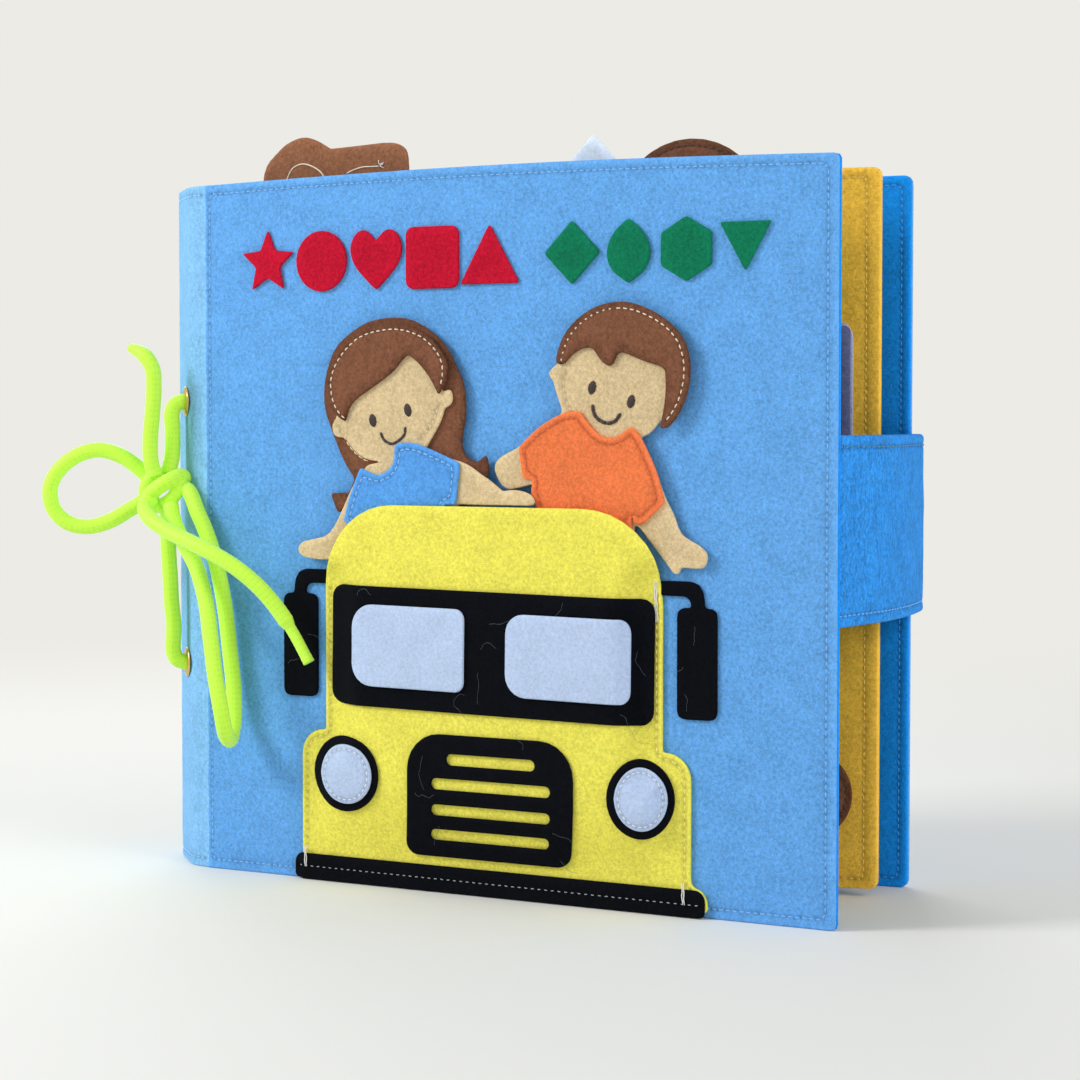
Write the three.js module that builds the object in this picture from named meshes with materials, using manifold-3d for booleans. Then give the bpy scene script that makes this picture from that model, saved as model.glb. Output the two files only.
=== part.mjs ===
// A felt quiet book that stands half open on its spine and its two covers.
// Millimetres, +Z up. The front cover faces -Y, the spine is on the -X side, the fore edge on +X.
// Places are first given from the front cover's lower corner at the spine:
// x runs towards the fore edge, y towards the back cover, z upwards.
import * as THREE from 'three';
import { mergeVertices } from 'three/addons/utils/BufferGeometryUtils.js';
import Module from 'manifold-3d';

const wasm = await Module();
wasm.setup();

// Felt sheets, by their thickness.
const felt = { cover: 1.6, craft: 1.2, page: 3.0, strap: 2.8, hook: 0.8 };
// Clearances: a cut or turned neighbour, two layers that slide, and a turning fold.
const gap = { turn: 0.3, slip: 0.2, fold: 0.5 };
// How far a cutting body runs past the face that it cuts.
const overrun = 5;

const cover = { width: 220, height: 220, corner: 2.5 };
cover.thickness = 2 * felt.cover;

const spine = { thickness: 59, bulge: 30, foldAlong: 28, eyeletAlong: 13 };
const eyelet = {
  bore: 2.8, barrel: 3.2, flange: 4.9, lip: 0.75, seat: 0.6, upperZ: 151, lowerZ: 66, sides: 14, holeSides: 20,
};
const cord = { diameter: 5, curveSegments: 5 };

const backCover = { width: 211.5, fanDegrees: 5.7 };
const page = { height: 218.6, raise: 2.4, marginInset: 1.8, marginWidth: 12, holeInset: 6.3, holeRadius: 3.2 };
const leaf = { firstY: 14.5, secondY: 29, thirdY: 44, shortReach: 205, longReach: 209, lean: 4, bow: 14 };
const strap = { bottomZ: 85.7, height: 55, lean: 4.9, tabLength: 11, bend: 4, sewnLength: 60, sewnClear: 3.4 };

// The bus is sewn down round centreX. What is sewn on its bulging front has its middle at faceX.
const bus = {
  centreX: 106.9, faceX: 108.5, roofWidth: 118.8, shoulderWidth: 137.1, bottomZ: 1.2, roofZ: 118.6, shoulderZ: 48,
  roofCorner: 25, shoulderCorner: 8, baseCorner: 3, seam: 4, mouthZ: 98, pocketDepth: 5.3,
};
const windshield = { width: 113, bottomZ: 56.1, height: 37.3, corner: 4 };
const window_ = { width: 41.6, bottomZ: 62.4, height: 25.2, corner: 4, offset: 28.1 };
const grille = { width: 58.1, bottomZ: 11.2, height: 38.4, corner: 8.5 };
const slot = { width: 41.7, shortWidth: 31, height: 3.4, lowestZ: 18.4, pitch: 7.9, count: 4 };
const headlight = { rim: 11.7, lens: 9.2, offset: 51.75, z: 34.6 };
const bumper = { width: 145.1, bottomZ: 0.3, height: 8.1, corner: 1.5 };
const mirror = {
  width: 13, bottomZ: 57.9, height: 32.6, corner: 2.5, armZ: 93.8, armHeight: 4.4, armOuter: 9, reach: 3.55,
};

const title = { size: 19, z: 194.5, redX: 25, redPitch: 20.4, greenX: 135, greenPitch: 18.9 };

const girl = { left: 38, bottom: 46, width: 88, height: 132 };
const boy = { left: 108, bottom: 46, width: 75, height: 136 };

const hairPiece = { left: 14.7, width: 55, bottomZ: 166, topZ: 235.2, y: 11.2 };
const roundPiece = { radius: 25.8, x: 167.6, topZ: 227.5, y: 11.2 };
const card = { side: 33, x: roundPiece.x - 31.5, topZ: roundPiece.topZ + 2.9, thickness: 0.8 };
const greyStrip = { width: 16, bottomZ: 126, height: 49.4, inset: 5.5, corner: 7.5 };
const brownDisc = { radius: 13.5, z: 31, inset: 7.5 };

const tones = {
  sky: 0x6fb2f0, band: 0x8cc6f2, strap: 0x4fa0e6, lining: 0x2a82d2, cream: 0xe9dfb4, yellowPage: 0xe3b54a,
  bus: 0xf2e45c, black: 0x14161c, window: 0xc4d2f2, red: 0xbf1a32, green: 0x157a5c, brown: 0x875338,
  skin: 0xdfc79e, shirtBlue: 0x559be0, shirtOrange: 0xf5813f, brass: 0xc9a04e, cord: 0xbdf24a,
  grey: 0x9aa4ac, card: 0xdceaf4, mint: 0x9fd3b6,
};

const brass = { metalness: 1, roughness: 0.35 };

const book = new THREE.Group();
const looseCord = new THREE.Group();

function add(name, geometry, color, place = {}) {
  const material = new THREE.MeshStandardMaterial({
    color, roughness: place.roughness ?? 0.95, metalness: place.metalness ?? 0,
  });
  const mesh = new THREE.Mesh(geometry, material);
  mesh.name = name;
  (place.into ?? book).add(mesh);
  return mesh;
}

// Solids for joining and cutting.
function solidOf(geometry) {
  const bare = geometry.clone();
  bare.deleteAttribute('normal');
  bare.deleteAttribute('uv');
  const merged = mergeVertices(bare, 1e-4);
  return new wasm.Manifold(new wasm.Mesh({
    numProp: 3, vertProperties: merged.attributes.position.array, triVerts: new Uint32Array(merged.index.array),
  }));
}

function geometryOf(solid) {
  const mesh = solid.getMesh();
  const geometry = new THREE.BufferGeometry();
  geometry.setAttribute('position', new THREE.BufferAttribute(mesh.vertProperties, 3));
  geometry.setIndex(new THREE.BufferAttribute(mesh.triVerts, 1));
  geometry.computeVertexNormals();
  return geometry;
}

const cut = (base, ...tools) => geometryOf(tools.reduce((left, tool) => left.subtract(solidOf(tool)), solidOf(base)));
const join = (base, ...others) => geometryOf(others.reduce((left, other) => left.add(solidOf(other)), solidOf(base)));
const keepInside = (base, region) => geometryOf(solidOf(base).intersect(solidOf(region)));

// A sheet cut to an outline in x and z, from its back face at y = back towards the viewer.
function sheet(outline, thickness, back, curveSegments = 2) {
  const geometry = new THREE.ExtrudeGeometry(outline, { depth: thickness, bevelEnabled: false, curveSegments });
  geometry.rotateX(Math.PI / 2);
  geometry.translate(0, back, 0);
  return geometry;
}

// A standing wall: an outline in x and y, from z = bottom upwards.
function wall(outline, height, bottom, curveSegments = 4) {
  const geometry = new THREE.ExtrudeGeometry(outline, { depth: height, bevelEnabled: false, curveSegments });
  geometry.translate(0, 0, bottom);
  return geometry;
}

function roundedBox(left, bottom, width, height, corners) {
  const [lowLeft, lowRight, topRight, topLeft] = Array.isArray(corners) ? corners : Array(4).fill(corners);
  const right = left + width;
  const top = bottom + height;
  const shape = new THREE.Shape();
  shape.moveTo(left + lowLeft, bottom);
  shape.lineTo(right - lowRight, bottom);
  if (lowRight) shape.absarc(right - lowRight, bottom + lowRight, lowRight, -Math.PI / 2, 0);
  shape.lineTo(right, top - topRight);
  if (topRight) shape.absarc(right - topRight, top - topRight, topRight, 0, Math.PI / 2);
  shape.lineTo(left + topLeft, top);
  if (topLeft) shape.absarc(left + topLeft, top - topLeft, topLeft, Math.PI / 2, Math.PI);
  shape.lineTo(left, bottom + lowLeft);
  if (lowLeft) shape.absarc(left + lowLeft, bottom + lowLeft, lowLeft, Math.PI, 1.5 * Math.PI);
  return shape;
}

function disc(x, z, radius) {
  return new THREE.Shape().absarc(x, z, radius, 0, 2 * Math.PI);
}

// An outline of smooth runs that meet at corners. Each run carries on from the last one's end, and
// its points are shares of the width and height of the box that holds the whole figure.
function figureOutline(box, runShares) {
  const place = ([u, v]) => new THREE.Vector2(box.left + u * box.width, box.bottom + v * box.height);
  const [start, ...first] = runShares[0].map(place);
  const shape = new THREE.Shape().moveTo(start.x, start.y);
  for (const run of [first, ...runShares.slice(1).map((run) => run.map(place))]) {
    if (run.length === 1) shape.lineTo(run[0].x, run[0].y);
    else shape.splineThru(run);
  }
  return shape;
}

// The spine: one bulging curve from the front seam to the back seam, seen from above.
const spineShares = [[0, 0], [0.25, 0.03], [0.53, 0.155], [0.83, 0.32], [1, 0.5], [0.83, 0.68], [0.53, 0.845],
  [0.25, 0.97], [0, 1]];
const spineCurve = new THREE.CatmullRomCurve3(
  spineShares.map(([u, v]) => new THREE.Vector3(-u * spine.bulge, v * spine.thickness, 0)), false, 'centripetal',
);
const spineLength = spineCurve.getLength();

function onSpine(along) {
  const share = along / spineLength;
  const point = spineCurve.getPointAt(share);
  const tangent = spineCurve.getTangentAt(share);
  return { point, outward: new THREE.Vector3(-tangent.y, tangent.x, 0) };
}

// A stretch of the spine's felt, as thick as a cover, its outer face on the curve.
function spineStrip(from, to, steps) {
  const outer = [];
  const inner = [];
  for (let i = 0; i <= steps; i += 1) {
    const { point, outward } = onSpine(from + (to - from) * i / steps);
    const inside = point.clone().addScaledVector(outward, -cover.thickness);
    outer.push(new THREE.Vector2(Math.min(point.x, -gap.turn), point.y));
    inner.push(new THREE.Vector2(Math.min(inside.x, -gap.turn), inside.y));
  }
  return new THREE.Shape([...outer, ...inner.reverse()]);
}

// A lace hole through the spine's felt, square to it.
function laceHole(along, z) {
  const { point, outward } = onSpine(along);
  const radius = eyelet.barrel + gap.turn;
  const hole = new THREE.CylinderGeometry(radius, radius, cover.thickness + 2 * overrun, eyelet.holeSides);
  hole.applyQuaternion(new THREE.Quaternion().setFromUnitVectors(new THREE.Vector3(0, 1, 0), outward));
  const middle = point.clone().addScaledVector(outward, -cover.thickness / 2);
  hole.translate(middle.x, middle.y, z);
  return hole;
}

// A brass eyelet: a barrel with a rolled flange on each face of the felt.
function eyeletAt(along, z) {
  const { point, outward } = onSpine(along);
  const inside = -cover.thickness - eyelet.seat;
  const profile = [
    [eyelet.bore, eyelet.lip + gap.slip], [eyelet.flange, eyelet.lip + gap.slip], [eyelet.flange, gap.slip],
    [eyelet.barrel, gap.slip], [eyelet.barrel, inside], [eyelet.flange, inside],
    [eyelet.flange, inside - eyelet.lip], [eyelet.bore, inside - eyelet.lip], [eyelet.bore, eyelet.lip + gap.slip],
  ].map(([r, y]) => new THREE.Vector2(r, y)).reverse();
  const geometry = new THREE.LatheGeometry(profile, eyelet.sides);
  geometry.applyQuaternion(new THREE.Quaternion().setFromUnitVectors(new THREE.Vector3(0, 1, 0), outward));
  geometry.translate(point.x, point.y, z);
  return geometry;
}

function buildSpine() {
  const backEyelet = spineLength - spine.eyeletAlong;
  const heights = [eyelet.upperZ, eyelet.lowerZ];
  const band = wall(spineStrip(spine.foldAlong + gap.turn, spineLength, 26), cover.height, 0);
  add('spine_band', cut(band, ...heights.map((z) => laceHole(backEyelet, z))), tones.band);
  add('upper_back_eyelet', eyeletAt(backEyelet, eyelet.upperZ), tones.brass, brass);
  add('lower_back_eyelet', eyeletAt(backEyelet, eyelet.lowerZ), tones.brass, brass);

  [leaf.firstY, leaf.secondY, leaf.thirdY].forEach((y, i) => {
    const left = -page.marginInset - page.marginWidth;
    const strip = sheet(roundedBox(left, page.raise, page.marginWidth, page.height, 0), felt.page, y + felt.page / 2);
    const holes = heights.map((z) => sheet(disc(-page.holeInset, z, page.holeRadius), felt.page + 2 * overrun,
      y + felt.page / 2 + overrun, 16));
    add(`page_${i + 1}_margin`, cut(strip, ...holes), [tones.cream, tones.mint, tones.yellowPage][i]);
  });
}

function buildFrontCover() {
  const panel = (back) => sheet(roundedBox(0, 0, cover.width, cover.height, [0, cover.corner, cover.corner, 0]),
    felt.cover, back);
  add('front_cover_outer', panel(felt.cover), tones.sky);
  add('front_cover_lining', panel(2 * felt.cover), tones.lining);

  const heights = [eyelet.upperZ, eyelet.lowerZ];
  const margin = wall(spineStrip(0, spine.foldAlong - gap.turn, 12), cover.height, 0);
  add('front_margin', cut(margin, ...heights.map((z) => laceHole(spine.eyeletAlong, z))), tones.band);
  add('upper_front_eyelet', eyeletAt(spine.eyeletAlong, eyelet.upperZ), tones.brass, brass);
  add('lower_front_eyelet', eyeletAt(spine.eyeletAlong, eyelet.lowerZ), tones.brass, brass);
}

// The back cover and what is sewn to it stand in a frame of their own, fanned open at the back seam.
function buildBackCover() {
  const fan = new THREE.Group();
  fan.position.set(0, spine.thickness, 0);
  fan.rotation.z = THREE.MathUtils.degToRad(backCover.fanDegrees);
  book.add(fan);
  const panel = (back) => sheet(roundedBox(0, 0, backCover.width, cover.height, [0, cover.corner, cover.corner, 0]),
    felt.cover, back);
  add('back_cover_outer', panel(0), tones.sky, { into: fan });
  add('back_cover_lining', panel(-felt.cover), tones.lining, { into: fan });
  const sewnRight = backCover.width - strap.sewnClear;
  const sewn = roundedBox(sewnRight - strap.sewnLength, strap.bottomZ, strap.sewnLength, strap.height, 0);
  add('strap_anchor', sheet(sewn, felt.strap, felt.strap + gap.turn), tones.strap, { into: fan });
}

// The strap turns at the back cover's outer fore edge, leans across the fore edge and ends in a tab
// that tucks in behind the front cover, where a hook patch holds it.
function buildStrap() {
  const fan = THREE.MathUtils.degToRad(backCover.fanDegrees);
  const turnX = backCover.width * Math.cos(fan) + gap.fold;
  const turnY = spine.thickness + backCover.width * Math.sin(fan) + gap.fold;
  const thick = felt.strap;
  const tabFront = cover.thickness + gap.turn + felt.hook + gap.slip;
  const cornerX = turnX + strap.lean + thick;
  const shape = new THREE.Shape();
  shape.moveTo(turnX, turnY);
  shape.lineTo(turnX, turnY + thick);
  shape.absarc(turnX, turnY, thick, Math.PI / 2, 0, true);
  shape.lineTo(cornerX, tabFront + strap.bend);
  shape.absarc(cornerX - strap.bend, tabFront + strap.bend, strap.bend, 0, -Math.PI / 2, true);
  shape.lineTo(cornerX - strap.tabLength, tabFront);
  shape.lineTo(cornerX - strap.tabLength, tabFront + thick);
  shape.lineTo(cornerX - strap.bend, tabFront + thick);
  shape.absarc(cornerX - strap.bend, tabFront + strap.bend, strap.bend - thick, -Math.PI / 2, 0);
  add('strap', wall(shape, strap.height, strap.bottomZ), tones.strap);

  const patchWidth = strap.tabLength - strap.bend - gap.fold;
  const patch = roundedBox(cornerX - strap.tabLength + gap.fold, strap.bottomZ + strap.bend, patchWidth,
    strap.height - 2 * strap.bend, 0);
  add('hook_patch', sheet(patch, felt.hook, tabFront - gap.slip / 2), tones.grey);
}

// A page leaf, seen from above: a round edge on the fold line, then a sheet along the curve.
function leafOutline(y, points) {
  const half = felt.page / 2;
  const curve = new THREE.SplineCurve(points.map(([x, dy]) => new THREE.Vector2(x, y + dy)));
  const near = [];
  const far = [];
  const steps = points.length > 2 ? 14 : 1;
  for (let i = 0; i <= steps; i += 1) {
    const point = curve.getPointAt(i / steps);
    const along = curve.getTangentAt(i / steps);
    near.push(new THREE.Vector2(point.x + along.y * half, point.y - along.x * half));
    far.push(new THREE.Vector2(point.x - along.y * half, point.y + along.x * half));
  }
  const shape = new THREE.Shape().moveTo(near[0].x, near[0].y);
  near.slice(1).forEach((p) => shape.lineTo(p.x, p.y));
  far.reverse().forEach((p) => shape.lineTo(p.x, p.y));
  const turn = Math.atan2(far.at(-1).y - y, far.at(-1).x);
  shape.absarc(0, y, half, turn, turn + Math.PI);
  return { shape, curve };
}

// What is sewn on a page follows its curve: a strip of it, cut to the outline in x and z.
function onPage(curve, from, to, outline) {
  const steps = 8;
  const skin = felt.page / 2 + gap.slip;
  const near = [];
  const far = [];
  for (let i = 0; i <= steps; i += 1) {
    const share = from + (to - from) * i / steps;
    const point = curve.getPointAt(share);
    const along = curve.getTangentAt(share);
    near.push(new THREE.Vector2(point.x + along.y * (skin + felt.craft), point.y - along.x * (skin + felt.craft)));
    far.push(new THREE.Vector2(point.x + along.y * skin, point.y - along.x * skin));
  }
  const strip = wall(new THREE.Shape([...near, ...far.reverse()]), page.height, page.raise);
  const region = sheet(outline, spine.thickness + 2 * overrun, spine.thickness + overrun, 8);
  return keepInside(strip, region);
}

function buildPages() {
  const reach = leaf.shortReach;
  const first = leafOutline(leaf.firstY, [[0, 0], [reach, 0]]);
  const second = leafOutline(leaf.secondY, [[0, 0], [reach, -leaf.lean]]);
  const bowShares = [[0, 0], [0.48, 0.14], [0.77, 0.36], [1, 1]];
  const third = leafOutline(leaf.thirdY, bowShares.map(([u, v]) => [u * leaf.longReach, v * leaf.bow]));
  add('page_1', wall(first.shape, page.height, page.raise), tones.cream);
  add('page_2', wall(second.shape, page.height, page.raise), tones.mint);
  add('page_3', wall(third.shape, page.height, page.raise), tones.yellowPage);

  const stripLeft = leaf.longReach - greyStrip.inset - greyStrip.width;
  const stripOutline = roundedBox(stripLeft, greyStrip.bottomZ, greyStrip.width, greyStrip.height,
    [0, 0, greyStrip.corner, greyStrip.corner]);
  const stripFrom = (stripLeft - overrun) / leaf.longReach;
  add('grey_strip', onPage(third.curve, stripFrom, 1, stripOutline), tones.grey);
  const discX = leaf.longReach - brownDisc.inset - brownDisc.radius;
  const discFrom = (discX - brownDisc.radius - overrun) / leaf.longReach;
  add('brown_disc', onPage(third.curve, discFrom, 1, disc(discX, brownDisc.z, brownDisc.radius)), tones.brown);
}

// Loose pieces kept between the front cover and the first page, their tops showing.
function buildLoosePieces() {
  const hairBox = {
    left: hairPiece.left, bottom: hairPiece.bottomZ, width: hairPiece.width,
    height: hairPiece.topZ - hairPiece.bottomZ,
  };
  const hairShares = [
    [[0, 0.82], [0.03, 0.88], [0.10, 0.93], [0.17, 0.97], [0.28, 0.995], [0.38, 0.975], [0.47, 0.935]],
    [[0.56, 0.938], [0.70, 0.943], [0.87, 0.948], [0.96, 0.93], [1, 0.88], [1, 0.72], [0.97, 0.4], [0.90, 0.12],
      [0.80, 0]],
    [[0.66, 0.06], [0.58, 0.3], [0.46, 0.36], [0.34, 0.28], [0.27, 0.06], [0.16, 0.02]],
    [[0.06, 0.2], [0, 0.5], [0, 0.82]],
  ];
  add('hair_piece', sheet(figureOutline(hairBox, hairShares), felt.craft, hairPiece.y + felt.craft), tones.brown);

  const half = card.side / Math.SQRT2;
  const diamond = new THREE.Shape().moveTo(card.x, card.topZ);
  diamond.lineTo(card.x - half, card.topZ - half);
  diamond.lineTo(card.x, card.topZ - 2 * half);
  diamond.lineTo(card.x + half, card.topZ - half);
  add('felt_card', sheet(diamond, card.thickness, roundPiece.y - gap.turn), tones.card);

  const roundZ = roundPiece.topZ - roundPiece.radius;
  add('round_piece', sheet(disc(roundPiece.x, roundZ, roundPiece.radius), felt.craft, roundPiece.y + felt.craft, 18),
    tones.brown);
}

// Felt shapes in a row, where a title would be.
function polygon(x, z, radii, count, turn = 0) {
  const points = Array.from({ length: count }, (_, i) => {
    const angle = Math.PI / 2 + turn + 2 * Math.PI * i / count;
    const radius = radii[i % radii.length];
    return new THREE.Vector2(x + radius * Math.cos(angle), z + radius * Math.sin(angle));
  });
  return new THREE.Shape(points);
}

function heart(x, z, size) {
  const heartBox = { left: x - size / 2, bottom: z - size / 2, width: size, height: size };
  return figureOutline(heartBox, [
    [[0.5, 0], [0.28, 0.2], [0.08, 0.42], [0, 0.68], [0.1, 0.92], [0.3, 0.98], [0.5, 0.8]],
    [[0.7, 0.98], [0.9, 0.92], [1, 0.68], [0.92, 0.42], [0.72, 0.2], [0.5, 0]],
  ]);
}

function leafShape(x, z, size) {
  const leafBox = { left: x - size / 2, bottom: z - size / 2, width: size, height: size };
  return figureOutline(leafBox, [
    [[0.5, 0], [0.22, 0.2], [0.12, 0.48], [0.24, 0.78], [0.5, 1]],
    [[0.76, 0.78], [0.88, 0.48], [0.78, 0.2], [0.5, 0]],
  ]);
}

function buildTitleShapes() {
  const half = title.size / 2;
  const starShares = [1.1, 0.5];
  const redShapes = [
    ['red_star', (x) => polygon(x, title.z, starShares.map((share) => share * half), 10)],
    ['red_circle', (x) => polygon(x, title.z, [half], 24)],
    ['red_heart', (x) => heart(x, title.z, title.size)],
    ['red_square', (x) => roundedBox(x - half, title.z - half, title.size, title.size, cover.corner)],
    ['red_triangle', (x) => polygon(x, title.z - cover.corner, [half + cover.corner], 3)],
  ];
  const greenShapes = [
    ['green_diamond', (x) => polygon(x, title.z, [half], 4)],
    ['green_leaf', (x) => leafShape(x, title.z, title.size)],
    ['green_hexagon', (x) => polygon(x, title.z, [half], 6)],
    ['green_triangle', (x) => polygon(x, title.z + cover.corner, [half], 3, Math.PI)],
  ];
  redShapes.forEach(([name, outline], i) => {
    add(name, sheet(outline(title.redX + i * title.redPitch), felt.craft, 0), tones.red);
  });
  greenShapes.forEach(([name, outline], i) => {
    add(name, sheet(outline(title.greenX + i * title.greenPitch), felt.craft, 0), tones.green);
  });
}

// The bus front: a felt pocket sewn to the cover at its sides and foot and open along its roof.
function busOutline(inset) {
  const roof = bus.roofWidth / 2 - inset;
  const shoulder = bus.shoulderWidth / 2 - inset;
  const corner = bus.shoulderCorner - inset / 2;
  const bottom = bus.bottomZ + inset;
  const top = bus.shoulderZ - inset;
  const shape = new THREE.Shape();
  shape.moveTo(bus.centreX - shoulder + bus.baseCorner, bottom);
  shape.lineTo(bus.centreX + shoulder - bus.baseCorner, bottom);
  shape.absarc(bus.centreX + shoulder - bus.baseCorner, bottom + bus.baseCorner, bus.baseCorner, -Math.PI / 2, 0);
  shape.lineTo(bus.centreX + shoulder, top - corner);
  shape.absarc(bus.centreX + shoulder - corner, top - corner, corner, 0, Math.PI / 2);
  shape.lineTo(bus.centreX + roof, top);
  shape.lineTo(bus.centreX + roof, bus.roofZ - bus.roofCorner);
  if (inset) {
    shape.lineTo(bus.centreX + roof, bus.roofZ + overrun);
    shape.lineTo(bus.centreX - roof, bus.roofZ + overrun);
  } else {
    shape.absarc(bus.centreX + roof - bus.roofCorner, bus.roofZ - bus.roofCorner, bus.roofCorner, 0, Math.PI / 2);
    shape.absarc(bus.centreX - roof + bus.roofCorner, bus.roofZ - bus.roofCorner, bus.roofCorner, Math.PI / 2, Math.PI);
  }
  shape.lineTo(bus.centreX - roof, top);
  shape.lineTo(bus.centreX - shoulder + corner, top);
  shape.absarc(bus.centreX - shoulder + corner, top - corner, corner, Math.PI / 2, Math.PI);
  shape.lineTo(bus.centreX - shoulder, bottom + bus.baseCorner);
  const baseX = bus.centreX - shoulder + bus.baseCorner;
  shape.absarc(baseX, bottom + bus.baseCorner, bus.baseCorner, Math.PI, 1.5 * Math.PI);
  return shape;
}

function buildBus() {
  const face = -bus.pocketDepth - felt.craft;
  const block = sheet(busOutline(0), bus.pocketDepth + felt.craft, 0, 4);
  const pocket = sheet(busOutline(bus.seam), bus.pocketDepth + overrun, overrun);
  const mouthWidth = bus.shoulderWidth + 2 * overrun;
  const mouthShape = roundedBox(bus.centreX - mouthWidth / 2, bus.mouthZ, mouthWidth, bus.roofZ, 0);
  const mouth = sheet(mouthShape, bus.pocketDepth + overrun, overrun);
  add('bus_body', cut(block, pocket, mouth), tones.bus);

  const frame = roundedBox(bus.faceX - windshield.width / 2, windshield.bottomZ, windshield.width, windshield.height,
    windshield.corner);
  add('windshield_frame', sheet(frame, felt.craft, face), tones.black);
  for (const [name, side] of [['left_window', -1], ['right_window', 1]]) {
    const left = bus.faceX + side * window_.offset - window_.width / 2;
    const pane = roundedBox(left, window_.bottomZ, window_.width, window_.height, window_.corner);
    add(name, sheet(pane, felt.craft, face - felt.craft), tones.window);
  }

  const grilleShape = roundedBox(bus.faceX - grille.width / 2, grille.bottomZ, grille.width, grille.height,
    grille.corner);
  for (let i = 0; i < slot.count; i += 1) {
    const width = i === slot.count - 1 ? slot.shortWidth : slot.width;
    grilleShape.holes.push(roundedBox(bus.faceX - width / 2, slot.lowestZ + i * slot.pitch - slot.height / 2, width,
      slot.height, slot.height / 2));
  }
  add('grille', sheet(grilleShape, felt.craft, face, 3), tones.black);

  for (const [side, sign] of [['left', -1], ['right', 1]]) {
    const x = bus.faceX + sign * headlight.offset;
    add(`${side}_headlight_rim`, sheet(disc(x, headlight.z, headlight.rim), felt.craft, face, 14), tones.black);
    add(`${side}_headlight_lens`, sheet(disc(x, headlight.z, headlight.lens), felt.craft, face - felt.craft, 12),
      tones.window);
  }

  const bar = roundedBox(bus.faceX - bumper.width / 2, bumper.bottomZ, bumper.width, bumper.height, bumper.corner);
  add('bumper', sheet(bar, felt.craft, face), tones.black);
}

// A wing mirror: a tall rounded body on an arm that bends over to the side of the bus.
function mirrorOutline(sign) {
  const inner = bus.roofWidth / 2 + gap.turn;
  const bodyNear = inner + mirror.reach;
  const bodyFar = bodyNear + mirror.width;
  const armTop = mirror.armZ + mirror.armHeight;
  const bodyTop = mirror.bottomZ + mirror.height;
  const armFar = bodyNear + mirror.armOuter;
  const armNear = armFar - mirror.armHeight;
  const r = mirror.corner;
  const points = new THREE.Path();
  points.moveTo(inner, mirror.armZ);
  points.lineTo(armNear - r, mirror.armZ);
  points.quadraticCurveTo(armNear, mirror.armZ, armNear, bodyTop);
  points.lineTo(bodyNear + r, bodyTop);
  points.quadraticCurveTo(bodyNear, bodyTop, bodyNear, bodyTop - r);
  points.lineTo(bodyNear, mirror.bottomZ + r);
  points.quadraticCurveTo(bodyNear, mirror.bottomZ, bodyNear + r, mirror.bottomZ);
  points.lineTo(bodyFar - r, mirror.bottomZ);
  points.quadraticCurveTo(bodyFar, mirror.bottomZ, bodyFar, mirror.bottomZ + r);
  points.lineTo(bodyFar, bodyTop - r);
  points.quadraticCurveTo(bodyFar, bodyTop, bodyFar - r, bodyTop);
  points.lineTo(armFar, bodyTop);
  points.quadraticCurveTo(armFar, armTop, armFar - mirror.armHeight, armTop);
  points.lineTo(inner, armTop);
  return new THREE.Shape(points.getPoints(3).map((p) => new THREE.Vector2(bus.centreX + sign * p.x, p.y)));
}

function buildMirrors() {
  add('left_mirror', sheet(mirrorOutline(-1), felt.craft, 0), tones.black);
  add('right_mirror', sheet(mirrorOutline(1), felt.craft, 0), tones.black);
}

// The dolls are flat felt figures in three layers. Every outline is in shares of the doll's own box.
const layer = { first: -felt.craft - gap.slip };
layer.second = layer.first - felt.craft;
layer.third = layer.second - felt.craft;
layer.hand = layer.third - gap.slip;

const girlHairBackShares = [
  [[0.235, 0.612], [0.188, 0.655], [0.145, 0.716], [0.113, 0.769], [0.106, 0.821], [0.122, 0.873], [0.158, 0.921],
    [0.221, 0.955], [0.299, 0.98], [0.399, 0.988], [0.483, 0.98], [0.566, 0.949], [0.623, 0.913], [0.652, 0.878],
    [0.682, 0.84], [0.693, 0.794], [0.692, 0.751], [0.678, 0.709], [0.682, 0.683], [0.7, 0.664], [0.741, 0.653]],
  [[0.776, 0.671]],
  [[0.786, 0.637], [0.77, 0.6]],
  [[0.618, 0.581]], [[0.25, 0.551]], [[0.162, 0.531]], [[0.132, 0.577]], [[0.212, 0.579]],
];
const girlHairFrontShares = [
  [[0.598, 0.807], [0.583, 0.828], [0.553, 0.857], [0.515, 0.883], [0.477, 0.901]],
  [[0.455, 0.892], [0.424, 0.869], [0.378, 0.846], [0.308, 0.818], [0.254, 0.796], [0.226, 0.773], [0.214, 0.745]],
  [[0.156, 0.773], [0.136, 0.829], [0.153, 0.873], [0.192, 0.911], [0.255, 0.948], [0.332, 0.966], [0.417, 0.972],
    [0.485, 0.964], [0.553, 0.945], [0.606, 0.912], [0.636, 0.878], [0.628, 0.836], [0.598, 0.807]],
];
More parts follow.
